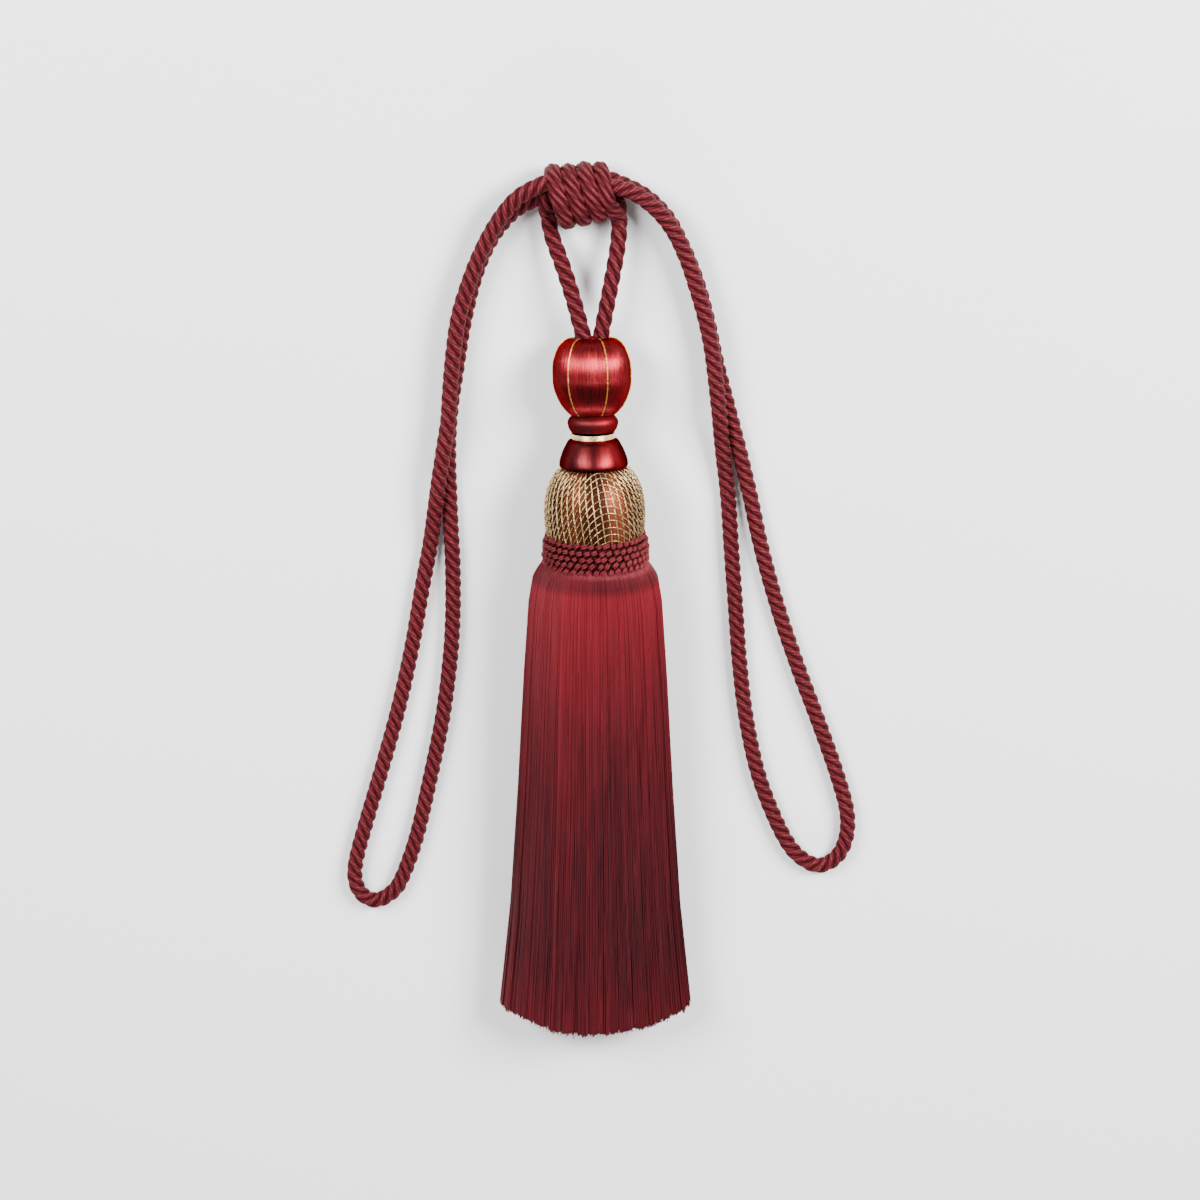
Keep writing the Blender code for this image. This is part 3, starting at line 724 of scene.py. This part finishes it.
def put_out(given, share, light, rougher, height):
    """Ends a surface's group with its dark and light colours in these shares."""
    outputs = {
        "Colour": mixed(share, given["Dark"], light),
        "Roughness": plus(given["Roughness"], rougher),
        "Height": height,
    }
    add_node(share.id_data, "NodeGroupOutput", outputs)
    return share.id_data


def yarn_tree():
    """Plied yarn: painted shade in the grooves between plies, with fine fibres that lean across each ply.
    """
    values = {"Plies": 4.0, "Fibres": 7.0, "Turns": 200.0, "Roughness": 0.5}
    tree, given = surface_tree("Yarn", Warm=(0.12, 0.03, 0.018, 1), **values)
    around, along = uv_parts(tree)
    plies = times(around, given["Plies"])
    stripe = crest(plus(times(plies, given["Fibres"]), times(along, given["Turns"])))
    spot = object_place(tree)
    fine = noise(spot, 1300.0, 3.0)
    broad = noise(spot, 90.0)
    warm = noise(spot, 330.0)
    # Painted highlight on the plies' crests, painted shade between fibres, darker patches, and painted
    # glints in the fine noise.
    share = maths("POWER", crest(plies), 0.9)
    share = times(share, remapped(stripe, 0.0, 0.7, 0.2, 1.0))
    share = times(share, remapped(fine, 0.3, 0.7, 0.45, 1.3))
    share = times(share, remapped(broad, 0.3, 0.7, 0.85, 1.05))
    light = mixed(remapped(warm, 0.45, 0.75, 0.0, 0.7), given["Light"], given["Warm"])
    height = plus(times(stripe, 0.8), times(fine, 0.4))
    return put_out(given, share, light, remapped(fine, 0.3, 0.7, -0.06, 0.08), height)


def silk_tree():
    """Wound silk: streaks that run along the threads, lighter and darker."""
    tree, given = surface_tree("Wound Silk", Streaks=90.0, Band=1.0, Roughness=0.35)
    around, along = uv_parts(tree)
    stretched = {"X": times(around, given["Streaks"]), "Y": times(along, 1.6)}
    stretched = add_node(tree, "ShaderNodeCombineXYZ", stretched).outputs["Vector"]
    coarse = noise(stretched, 1.0, 3.0)
    fine = noise(stretched, 4.5)
    share = plus(remapped(coarse, 0.3, 0.7, 0.05, 0.55), remapped(fine, 0.3, 0.7, 0.05, 0.4))
    share = times(share, given["Band"])
    return put_out(given, share, given["Light"], remapped(fine, 0.3, 0.7, -0.06, 0.08), fine)


def gold_tree():
    """Metal thread: bright and dull turns mixed at random, partly a painted glint."""
    tree, given = surface_tree("Metal Thread", Grain=1800.0, Roughness=0.3)
    fine = noise(object_place(tree), given["Grain"])
    share = remapped(fine, 0.35, 0.65)
    return put_out(given, share, given["Light"], remapped(fine, 0.3, 0.7, -0.08, 0.1), fine)


def fringe_tree():
    """Cut fringe: each thread has its own shade, and painted shade darkens it from the collar to the hem.
    """
    tree, given = surface_tree("Fringe", Roughness=0.42)
    tone = add_node(tree, "ShaderNodeAttribute", attribute_name="tone").outputs["Fac"]
    along = add_node(tree, "ShaderNodeAttribute", attribute_name="along").outputs["Fac"]
    stretched = {"Vector": object_place(tree), "Scale": (1.0, 0.045, 1.0)}
    stretched = add_node(tree, "ShaderNodeMapping", stretched).outputs["Vector"]
    broad = noise(stretched, 110.0)
    fine = noise(stretched, 520.0, 3.0)
    # Painted shade darkens the threads to the hem, they are lighter again in the cut ends, and a painted
    # shadow darkens the root under the collar.
    to_hem = add_node(tree, "ShaderNodeMath", {0: 1.0, 1: along}, operation="SUBTRACT").outputs[0]
    fade = plus(times(maths("POWER", to_hem, 3.5), 0.80), 0.19)
    fade = plus(fade, remapped(along, 0.85, 1.0, 0.0, 0.17))
    fade = times(fade, remapped(along, 0.012, 0.028, 0.4, 1.0))
    shade = plus(remapped(tone, 0.0, 1.0, -0.1, 0.1), remapped(broad, 0.3, 0.7, -0.1, 0.08))
    shade = plus(shade, remapped(fine, 0.3, 0.7, -0.1, 0.1))
    share = remapped(plus(fade, shade), 0.0, 1.0)
    return put_out(given, share, given["Light"], remapped(tone, 0.0, 1.0, -0.06, 0.08), fine)


def dressed(name, tree, values, colours, bump, constants):
    """A Principled material fed by a shared group, with its own values and constant sockets."""
    material = bpy.data.materials.new(name)
    material.use_nodes = True
    inner = material.node_tree
    shader = inner.nodes["Principled BSDF"]
    values = {"Light": (*colours[0], 1), "Dark": (*colours[1], 1), **values}
    group = add_node(inner, "ShaderNodeGroup", values, node_tree=tree)
    relief = {"Strength": bump, "Distance": 0.1 * MM, "Height": group.outputs["Height"]}
    relief = add_node(inner, "ShaderNodeBump", relief)
    for label, value in constants.items():
        shader.inputs[label].default_value = value
    feed(shader.inputs["Base Color"], group.outputs["Colour"])
    feed(shader.inputs["Roughness"], group.outputs["Roughness"])
    feed(shader.inputs["Normal"], relief.outputs["Normal"])
    material.diffuse_color = (*colours[0], 1)
    return material


def dyed(share, *colours):
    """The colours at this share of their strength."""
    return [[share * part for part in colour] for colour in colours]


def yarn(name, plies, fibres, turns, settings, roughness=0.5, shade=1.0):
    """Rayon yarn for a rope, gimp or braid at this share of the settings' colours; the braid's low share
    is painted shade.
    """
    light, dark, warm = dyed(shade, settings.light, settings.dark, settings.warm)
    values = {"Plies": plies, "Fibres": fibres, "Turns": turns, "Roughness": roughness, "Warm": (*warm, 1)}
    constants = {"Metallic": 0.25, "Specular IOR Level": 0.1, "Specular Tint": THREAD_SHINE}
    return dressed(name, shared_tree("Yarn", yarn_tree), values, (light, dark), 1.0, constants)


def silk(name, streaks, colours, roughness, metallic, bands=None):
    """Satin silk wound over a mould, with broad bands of painted highlight and painted shade round it if
    any are given.
    """
    values = {"Streaks": streaks, "Roughness": roughness}
    constants = {"Metallic": metallic, "Specular Tint": SILK_SHINE}
    material = dressed(name, shared_tree("Wound Silk", silk_tree), values, colours, 0.15, constants)
    if bands:
        inner = material.node_tree
        ramp = add_node(inner, "ShaderNodeValToRGB", {"Fac": uv_parts(inner)[0]})
        stops = ramp.color_ramp.elements
        while len(stops) < len(bands):
            stops.new(0.5)
        for stop, (place, share) in zip(stops, bands):
            stop.position = place
            stop.color = (share, share, share, 1)
        group = next(node for node in inner.nodes if node.type == "GROUP")
        feed(group.inputs["Band"], ramp.outputs["Color"])
    return material


def metal_thread(name, colours, roughness=0.3):
    """Metal thread of these two colours."""
    tree = shared_tree("Metal Thread", gold_tree)
    return dressed(name, tree, {"Roughness": roughness}, colours, 0.3, {"Metallic": 0.85})


# The stage


class TIEBACK_OT_stage(bpy.types.Operator):
    """Sets the camera, the pale surface and the soft light"""

    bl_idname = "tieback.stage"
    bl_label = "Stage"

    def execute(self, context):
        settings = context.scene.tieback_stage
        camera = bpy.data.cameras.new("camera")
        camera.sensor_width = 36
        camera.lens = CAMERA_LENS
        camera.clip_start, camera.clip_end = 0.05, 20
        lens = put("camera", camera)
        lens.location = CAMERA_PLACE
        lens.rotation_euler = (math.radians(CAMERA_TILT), 0, 0)
        context.scene.camera = lens

        reach = 3.0
        floor = bpy.data.meshes.new("floor")
        corners = [(-reach, -reach, 0), (reach, -reach, 0), (reach, reach, 0), (-reach, reach, 0)]
        floor.from_pydata(corners, [], [(0, 1, 2, 3)])
        paper = bpy.data.materials.new("paper")
        paper.use_nodes = True
        shader = paper.node_tree.nodes["Principled BSDF"]
        shader.inputs["Base Color"].default_value = (*settings.floor, 1)
        shader.inputs["Roughness"].default_value = 0.9
        floor.materials.append(paper)
        surface = put("floor", floor)

        world = bpy.data.worlds.new("studio")
        world.use_nodes = True
        sky = world.node_tree.nodes["Background"]
        sky.inputs["Color"].default_value = (1, 1, 1, 1)
        sky.inputs["Strength"].default_value = settings.sky
        context.scene.world = world
        # name, power, width and height, place
        boxes = [
            ("soft_box_left", (1 - RIGHT_SHARE) * settings.key, (0.5, 0.85), (-0.8, 0.68, 1.1)),
            ("soft_box_right", RIGHT_SHARE * settings.key, (0.5, 0.85), (1.0, 0.68, 1.1)),
            ("low_fill", settings.fill, (1.2, 0.3), (0.0, -1.1, 0.45)),
        ]
        for name, power, size, place in boxes:
            box = bpy.data.lights.new(name, "AREA")
            box.shape = "RECTANGLE"
            box.size, box.size_y = size
            box.energy = power
            lamp = put(name, box)
            lamp.location = place
            ahead = Vector(LIT_POINT) - Vector(place)
            lamp.rotation_euler = ahead.to_track_quat("-Z", "Y").to_euler()
        return {"FINISHED"}


# Ropes


def ply_profile(settings, around):
    """The rope's radius at angles round it, with a crest for each ply."""
    share = TURN / settings.plies
    within = (around + share / 2) % share - share / 2
    middle = settings.radius * (1 - settings.fullness)
    ply = settings.radius - middle
    return middle * np.cos(within) + np.sqrt(ply**2 - (middle * np.sin(within)) ** 2)


def rope_rings(points, settings, lead):
    """Rings of points over a twisted rope along a line, laid to the left."""
    sides, others = carried_frames(points)
    around = evenly_round(settings.plies * PLY_SIDES)
    profile = ply_profile(settings, around)
    angle = around[None, :] - TURN * travelled(points)[:, None] / lead
    across = np.cos(angle)[..., None] * sides[:, None] + np.sin(angle)[..., None] * others[:, None]
    return points[:, None] + profile[None, :, None] * across


class TIEBACK_OT_ropes(bpy.types.Operator):
    """Lays the two loops and the two legs of the hanger"""

    bl_idname = "tieback.ropes"
    bl_label = "Ropes"

    def execute(self, context):
        settings = context.scene.tieback_rope
        routes = {
            "arm_left": (LEFT_ARM_ROUTE, settings.arm_lead),
            "arm_right": (RIGHT_ARM_ROUTE, settings.arm_lead),
            "leg_left": (LEFT_LEG_ROUTE, settings.leg_lead),
            "leg_right": (RIGHT_LEG_ROUTE, settings.leg_lead),
        }
        for node, (route, lead) in routes.items():
            whole = [*LEAD_IN[node], *route, *LEAD_OUT[node]]
            laid = smooth_points(np.array(whole) * MM, ROUTE_FINENESS)
            length = travelled(laid)[-1]
            laid = even_points(laid, round(length / lead * RINGS_PER_LEAD))
            surface = yarn(f"{node}_yarn", settings.plies, 2.0, length / lead * FIBRES_PER_LEAD, settings)
            piece = show(skin(f"{node}_rope", rope_rings(laid, settings, lead), surface), [node])
        return {"FINISHED"}


class TIEBACK_OT_knot(bpy.types.Operator):
    """Winds the barrel knot round the doubled rope"""

    bl_idname = "tieback.knot"
    bl_label = "Knot"

    def execute(self, context):
        settings = context.scene.tieback_knot
        rope = context.scene.tieback_rope
        edges = np.array(WRAP_EDGES)
        wound = np.linspace(WRAP_START, len(edges) - 1, RINGS_PER_EDGE * len(edges))
        before = np.minimum(wound.astype(int), len(edges) - 2)
        share = (1 - np.cos(np.pi * (wound - before))) / 2
        flat = edges[before] + (edges[before + 1] - edges[before]) * share[:, None]
        level = WRAP_LEVEL - WRAP_HALF_HEIGHT * np.sin(np.pi * wound)
        wraps = np.column_stack([flat, level])
        tail = smooth_points([tuple(wraps[-1]), *WRAP_TAIL], 12)
        line = np.vstack([wraps[:-1], tail]) * MM
        line = even_points(line, len(line))
        along = travelled(line)
        turns = along[-1] / settings.lead * FIBRES_PER_LEAD
        surface = yarn("knot_yarn", settings.plies, 1.0, turns, rope)
        thin_from, thin_to, thinned = along[-1] - 14 * MM, along[-1] - 3 * MM, 0.78
        taper = np.interp(along, [thin_from, thin_to], [1.0, thinned])
        rings = rope_rings(line, settings, settings.lead)
        rings = line[:, None] + (rings - line[:, None]) * taper[:, None, None]
        rings[..., 2] = np.maximum(rings[..., 2], 0.05 * MM)
        show(skin("knot_wraps", rings, surface), ["knot"])

        rows, columns = 24, 40
        (left, right), middle, half_width, half_height = KNOT_CORE
        x = np.linspace(left, right, rows) * MM
        bulge = 1 - 0.5 * np.abs(np.linspace(-1, 1, rows)[:, None]) ** 6
        angle = evenly_round(columns)
        y = middle * MM + half_width * MM * bulge * np.cos(angle)
        z = WRAP_LEVEL * MM + half_height * MM * bulge * np.sin(angle)
        surface = yarn("knot_core_yarn", 8.0, 3.0, 20.0, rope, 0.7)
        show(skin("knot_core", stacked(x[:, None], y, z), surface), [])
        return {"FINISHED"}


# The turned moulds


def wound_rings(outline, place, pitch, depth, seed):
    """Rings over a turned mould with silk threads laid down it. They start at the underside, lie a little
    unevenly and fade out near the axis."""
    sides, uneven, fade_within, least = 4, 0.15, 4.0, 0.05
    smooth = smooth_points(outline, 3)
    widest = max(radius for _, radius in outline)
    wound = round(TURN * widest * MM / pitch)
    count = sides * wound
    chance = np.random.default_rng(seed)
    angle = TURN * (np.arange(count) / count + 0.25)
    swell = (1 + np.cos(TURN / sides * np.arange(count))) / 2
    laid = depth / MM * (swell + np.repeat(chance.normal(0, uneven, wound), sides))
    down, radius = smooth[::-1, 0], smooth[::-1, 1]
    fade = np.clip(radius / fade_within, 0, 1)
    wide = np.maximum(radius[:, None] - laid[None, :] * fade[:, None], least)
    return turned(wide, angle, down[:, None], place)


class TIEBACK_OT_moulds(bpy.types.Operator):
    """Winds silk over the bulb, the bead, the flare and the ball"""

    bl_idname = "tieback.moulds"
    bl_label = "Moulds"

    def execute(self, context):
        settings = context.scene.tieback_silk
        places = axis_places()
        red = (settings.light, settings.dark)
        ball_colours = (settings.net_light, settings.net_dark)
        # The bead and the flare take a lower share of the bulb's red silk: painted shade that darkens
        # them.
        # name: outline, colours, share of them, streaks, roughness, metallic, relief, pitch, bands of
        # painted highlight and shade
        moulds = {
            "bulb": (BULB_OUTLINE, red, 1.1, 110.0, 0.28, 1.0, 1.0, 1.0, None),
            "bead": (BEAD_OUTLINE, red, 0.8, 70.0, 0.48, 1.0, 0.5, 1.0, FLARE_LIGHT_AND_SHADE),
            "flare": (FLARE_OUTLINE, red, 0.58, 90.0, 0.32, 1.0, 0.35, 1.4, FLARE_LIGHT_AND_SHADE),
            "ball": (BALL_OUTLINE, ball_colours, 1.0, 120.0, 0.42, 0.55, 0.2, 2.0, BALL_LIGHT_AND_SHADE),
        }
        for seed, (node, mould) in enumerate(moulds.items()):
            outline, dye, strength, streaks, roughness, metallic, relief, pitch, bands = mould
            surface = silk(f"{node}_silk", streaks, dyed(strength, *dye), roughness, metallic, bands)
            pitch, depth = settings.pitch * pitch, settings.depth * relief
            rings = wound_rings(outline, places[node], pitch, depth, seed)
            show(skin(f"{node}_wound", rings, surface), [node])
        return {"FINISHED"}


# Gold thread


def outline_part(outline, low, high):
    """The part of an outline between two distances from the top, on its outer side."""
    return [(down, radius) for down, radius in outline if low <= down <= high and radius > 8]


def raised(points, height):
    """An outline moved out from its surface."""
    points = np.asarray(points)
    run = unit(np.gradient(points, axis=0))
    return points + stacked(-run[:, 1], run[:, 0]) * height


class TIEBACK_OT_gold_lines(bpy.types.Operator):
    """Lays the gold threads down the bulb and winds the gold band"""

    bl_idname = "tieback.gold_lines"
    bl_label = "Gold threads and band"

    def execute(self, context):
        settings = context.scene.tieback_gold
        places = axis_places()
        surface = metal_thread("gold_thread", (settings.orange, settings.dark))
        laid = smooth_points(raised(BULB_OUTLINE[3:-2], settings.thread / MM * 0.15), 6)
        down, radius = laid[:, 0], laid[:, 1]
        lines = []
        for number in range(GOLD_LINES):
            angle = math.radians(FIRST_LINE + 360 // GOLD_LINES * number)
            line = stacked(radius * math.sin(angle), -radius * math.cos(angle), -down)
            lines.append(moved(line, places["bulb"]))
        mesh = threads("bulb_gold", lines, settings.thread * 1.1, 8, surface)
        nodes = [f"bulb_thread_{number + 1}" for number in range(GOLD_LINES)]
        show(mesh, nodes)

        steps = 96
        angle = TURN * np.arange(steps + 1) / steps
        lines = []
        for number in range(BAND_TURNS):
            down = BAND_WIDTH * (number + 0.5) / BAND_TURNS
            radius = BAND_RADIUS - 0.25 - 0.12 * abs(number - (BAND_TURNS - 1) / 2)
            lines.append(turned(radius, angle, down, places["band"]))
        surface = metal_thread("band_gold", (settings.pale, settings.light))
        show(threads("band_gold", lines, BAND_THREAD * MM, 8, surface), ["band"])
        return {"FINISHED"}


class TIEBACK_OT_net(bpy.types.Operator):
    """Draws the gold net over the ball"""

    bl_idname = "tieback.net"
    bl_label = "Net"

    def execute(self, context):
        settings = context.scene.tieback_gold
        place = axis_places()["ball"]
        fine = smooth_points(raised(outline_part(BALL_OUTLINE, *NET_ENDS), NET_LIFT), 8)
        down_it = travelled(fine)
        length = down_it[-1]
        mesh_length = settings.mesh_length / MM
        turns = evenly_round(settings.chains)
        widest = fine[:, 1].max()

        def on_ball(travel, angle, lift):
            """The point at this travel down the ball, this angle and this height over its surface."""
            down = np.interp(travel, down_it, fine[:, 0])
            radius = np.interp(travel, down_it, fine[:, 1]) + lift
            angle = angle + settings.spiral * (travel / length - 0.5)
            return moved(stacked(radius * np.sin(angle), -radius * np.cos(angle), -down), place)

        def drop(angle):
            """How far each row sinks below its crown at this angle."""
            away = np.abs((angle - settings.crown + np.pi) % TURN - np.pi)
            near = np.minimum(away, settings.steepest / 2 / settings.curl)
            return widest * (settings.curl * near**2 + settings.steepest * (away - near))

        travel = np.linspace(0, length, 6 * round(length / mesh_length) + 1)
        lift, sway = STRAND_LIFT, 0.009
        lines = []
        for angle in turns:
            phase = np.pi * (travel - drop(angle)) / mesh_length
            for strand in (-1, 1):
                beside = sway * strand * np.sin(phase)
                lines.append(on_ball(travel, angle + beside, lift + lift * strand * np.cos(phase)))
        surface = metal_thread("net_gold", (settings.light, settings.dark), 0.26)
        show(threads("net_chains", lines, settings.thread * 0.62, 5, surface), [])

        rungs, knots = [], []
        across = np.linspace(0, TURN / settings.chains, 4)
        for angle in turns:
            first = math.ceil(-drop(angle) / mesh_length)
            for row in range(first, first + math.ceil(length / mesh_length)):
                at = row * mesh_length + drop(angle + across)
                if at.min() > 0 and at.max() < length:
                    rungs.append(on_ball(at, angle + across, lift))
                if 0 < at[0] < length:
                    knots.append(on_ball(at[0], angle, KNOT_LIFT))
        show(threads("net_rungs", rungs, settings.thread * 0.74, 5, surface), [])
        still = np.zeros((len(knots), 3))
        mesh = stitches("net_knots", knots, still, still + 1, NET_KNOT * MM, surface, (8, 5))
        show(mesh, [])
        return {"FINISHED"}


# The collar


class TIEBACK_OT_collar(bpy.types.Operator):
    """Winds the rows of twisted gimp round the ball's foot"""

    bl_idname = "tieback.collar"
    bl_label = "Collar"

    def execute(self, context):
        settings = context.scene.tieback_collar
        rope = context.scene.tieback_rope
        place = axis_places()["collar"] @ Matrix.Rotation(math.radians(-ROW_TILT), 4, "X")
        turn = place.to_3x3()
        chance = np.random.default_rng(5)
        points, turns, stretches = [], [], []
        along = Vector((0, 0, 1))
        for row, (down, radius, slant, long) in enumerate(COLLAR_ROWS):
            for number in range(settings.loops):
                stray = (chance.normal(0, 1, 5) * GIMP_STRAYS).tolist()
                angle = TURN * (number + ROW_SHIFT * row + stray[0]) / settings.loops
                out = Vector((math.cos(angle), math.sin(angle), 0))
                round_it = Vector((-math.sin(angle), math.cos(angle), 0))
                leaning = math.radians(slant) + stray[1]
                slanted = math.cos(leaning) * round_it + math.sin(leaning) * along
                other = out.cross(slanted)
                middle = (radius + stray[2]) * out - (down + stray[3]) * along
                pose = turn @ Matrix((slanted, other, out)).transposed()
                for side in (-1, 1):
                    world = place @ ((middle + GIMP_STRAND_GAP * side * other) * MM)
                    world.z = max(world.z, LOWEST_GIMP * MM)
                    points.append(world)
                    turns.append(pose.to_euler())
                    stretches.append((long * (1 + stray[4]), GIMP_WIDTH, 1.0))
        surface = yarn("gimp_yarn", 1.0, 3.0, 1.0, rope, 0.38, 0.85)
        mesh = stitches("collar_gimp", points, turns, stretches, 1.0 * MM, surface, (9, 7))
        show(mesh, ["collar"])

        rows, columns = 41, 120
        down = np.linspace(*BRAID_ENDS, rows)
        middles = [row[0] for row in COLLAR_ROWS]
        spacing = (middles[-1] - middles[0]) / (len(middles) - 1)
        wave = np.cos(TURN * (down - middles[0]) / spacing)
        radius = np.interp(down, middles, [row[1] for row in COLLAR_ROWS])
        radius = radius - BRAID_DEPTH + BRAID_WAVE * wave
        rings = turned(radius[::-1, None], evenly_round(columns), down[::-1, None], place)
        rings[..., 2] = np.maximum(rings[..., 2], 0.3 * MM)
        # The braid is yarn at 0.3 of the rope's colours: a dark sheet of painted shade that shows in the
        # gaps between the twists.
        surface = yarn("collar_braid_shade_yarn", 60.0, 2.0, 60.0, rope, 0.7, 0.3)
        show(skin("collar_braid", rings, surface), [])
        return {"FINISHED"}


# The skirt


def skirt_points(across, up, travel):
    """Points of the skirt for places in a unit disc and travels from the collar in millimetres."""
    table = np.array(SKIRT_PROFILE)
    half_width = np.interp(travel, table[:, 0], table[:, 1])
    half_height = np.interp(travel, table[:, 0], table[:, 2])
    foot = Vector(COLLAR_CENTRE) - COLLAR_LENGTH / 2 * up_the_axis(COLLAR_SLOPE)
    rise = np.sqrt(np.clip(1 - across**2, 1e-6, 1))
    out = np.clip((travel + 3) / 10.0, 0, 1)
    out = out * out * (3 - 2 * out)
    raised_foot = foot.z + COLLAR_LENGTH * math.sin(math.radians(ROW_TILT)) * (1 - out)
    round_level = raised_foot + half_height * up
    share = np.clip((up / rise + 1) / 2, 0, 1)
    flatter = np.clip(1 - np.abs(across) ** 3, 0, 1) ** (1 / 3)
    low = np.maximum(0.3, half_height * (1 - flatter) - SETTLE)
    level = low + (half_height * (1 + rise) - low) * share
    lean = math.tan(math.radians(COLLAR_SLOPE + ROW_TILT)) * (round_level - raised_foot) * (1 - out)
    z = round_level + (level - round_level) * out
    return stacked(across * half_width, foot.y - travel + lean, z) * MM


def hem_travel(across, up):
    """How far from the collar the threads are cut: furthest on top, in the middle."""
    crown = (1 - across**2) * (0.35 + 0.65 * np.clip(up, 0, 1)) * (up > -0.5)
    return HEM_AT + HEM_CURVE * crown - 3.0 * (up < -0.6)


class TIEBACK_OT_skirt(bpy.types.Operator):
    """Hangs the fringe: long threads, the cut ends at the hem, and the fullness under them"""

    bl_idname = "tieback.skirt"
    bl_label = "Skirt"

    def execute(self, context):
        settings = context.scene.tieback_skirt
        chance = np.random.default_rng(11)
        colours = (settings.light, settings.dark)
        constants = {"Metallic": 0.2, "Specular IOR Level": 0.2, "Specular Tint": THREAD_SHINE}
        surface = dressed("fringe", shared_tree("Fringe", fringe_tree), {}, colours, 0.1, constants)

        stations = np.array(SKIRT_STATIONS)
        share = stations / HEM_AT
        grown_share = np.clip(share, 0, 1)
        locks = settings.locks
        lock_depth = chance.random(locks)
        lock_cut = chance.normal(0, CUT_STRAY, locks)
        for layer in range(settings.layers):
            count = settings.threads - FEWER_THREADS * layer
            lock = chance.integers(0, locks, count)
            middle = TURN * (lock + 0.5) / locks
            angle = middle + TURN / locks * chance.uniform(-0.7, 0.7, count)
            spread = chance.uniform(0, THREAD_DEPTH, count) + LOCK_DEPTH * lock_depth[lock]
            depth = 1 - LAYER_STEP * layer - spread[:, None] * (0.25 + 0.75 * grown_share)
            cut = chance.normal(0, CUT_STRAY, count) + lock_cut[lock]
            drift = chance.normal(0, DRIFT, count)[:, None] * grown_share
            gather = (middle - angle)[:, None] * GATHER * grown_share**0.5
            waver = WAVER * np.sin(share * 9 + chance.uniform(0, TURN, count)[:, None]) * grown_share
            angles = angle[:, None] + drift + gather + waver
            across, up = depth * np.cos(angles), depth * np.sin(angles)
            reach = (hem_travel(across[:, -1], up[:, -1]) + cut) / HEM_AT
            travel = np.where(stations > ROOT_END, stations * reach[:, None], stations)
            lines = skirt_points(across, up, travel)
            looks = {"tone": chance.random(count)[:, None], "along": grown_share}
            looks["thick"] = chance.uniform(0.8, 1.3, count)[:, None]
            mesh = threads(f"skirt_layer_{layer + 1}", lines, settings.thread, 3, surface, **looks)
            show(mesh, ["skirt"] if layer == 0 else [])

        count = settings.tips
        radius = np.sqrt(chance.random(count)) * TIP_REACH
        angle = TURN * chance.random(count)
        across, up = radius * np.cos(angle), radius * np.sin(angle)
        end = hem_travel(across, up) + chance.normal(0, TIP_STRAY, count)
        travel = stacked(end - TIP_LENGTH, end - TIP_LENGTH / 2, end)
        lean = 1 + chance.normal(0, 0.006, (count, 1)) * np.array([0, 0.4, 1])
        lines = skirt_points(across[:, None] * lean, up[:, None] * lean, travel)
        looks = {"tone": chance.random(count)[:, None], "along": np.array([0.87, 0.93, 1.0])}
        show(threads("skirt_tips", lines, settings.thread * 1.3, 3, surface, **looks), [])

        rows, columns = 40, 96
        travel = np.linspace(*UNDER_ENDS, rows)[:, None]
        angle = evenly_round(columns)
        rings = skirt_points(UNDER_SIZE * np.cos(angle), UNDER_SIZE * np.sin(angle), travel)
        # The fullness takes the fringe's colours at 0.4: painted shade for the depth between the threads.
        under = silk("skirt_under_silk", 260.0, dyed(0.4, *colours), 0.6, 0.3)
        show(skin("skirt_under", rings, under), [])
        return {"FINISHED"}


class TIEBACK_PT_panel(bpy.types.Panel):
    """Lists the tieback's pieces"""

    bl_label = "Curtain Tieback"
    bl_idname = "TIEBACK_PT_panel"
    bl_space_type = "VIEW_3D"
    bl_region_type = "UI"
    bl_category = "Tieback"

    def draw(self, context):
        for operator in OPERATORS:
            self.layout.operator(operator.bl_idname)
        for name in SETTINGS:
            box = self.layout.box()
            settings = getattr(context.scene, name)
            for key in settings.bl_rna.properties.keys():
                if key not in ("rna_type", "name"):
                    box.prop(settings, key)


SETTINGS = {
    "tieback_rope": TiebackRope,
    "tieback_knot": TiebackKnot,
    "tieback_silk": TiebackSilk,
    "tieback_gold": TiebackGold,
    "tieback_collar": TiebackCollar,
    "tieback_skirt": TiebackSkirt,
    "tieback_stage": TiebackStage,
}
OPERATORS = [
    TIEBACK_OT_stage,
    TIEBACK_OT_ropes,
    TIEBACK_OT_knot,
    TIEBACK_OT_moulds,
    TIEBACK_OT_gold_lines,
    TIEBACK_OT_net,
    TIEBACK_OT_collar,
    TIEBACK_OT_skirt,
]


def register():
    """Registers the settings, the operators and the panel."""
    for name, group in SETTINGS.items():
        bpy.utils.register_class(group)
        setattr(bpy.types.Scene, name, bpy.props.PointerProperty(type=group))
    for operator in OPERATORS:
        bpy.utils.register_class(operator)
    bpy.utils.register_class(TIEBACK_PT_panel)


def unregister():
    """Takes them out again."""
    bpy.utils.unregister_class(TIEBACK_PT_panel)
    for operator in reversed(OPERATORS):
        bpy.utils.unregister_class(operator)
    for name, group in reversed(SETTINGS.items()):
        delattr(bpy.types.Scene, name)
        bpy.utils.unregister_class(group)


def main():
    """Builds the whole tieback."""
    register()
    for operator in OPERATORS:
        step = getattr(bpy.ops.tieback, operator.bl_idname.removeprefix("tieback."))
        if "FINISHED" not in step():
            raise RuntimeError(f"{operator.bl_label} did not finish")


if __name__ == "__main__":
    main()
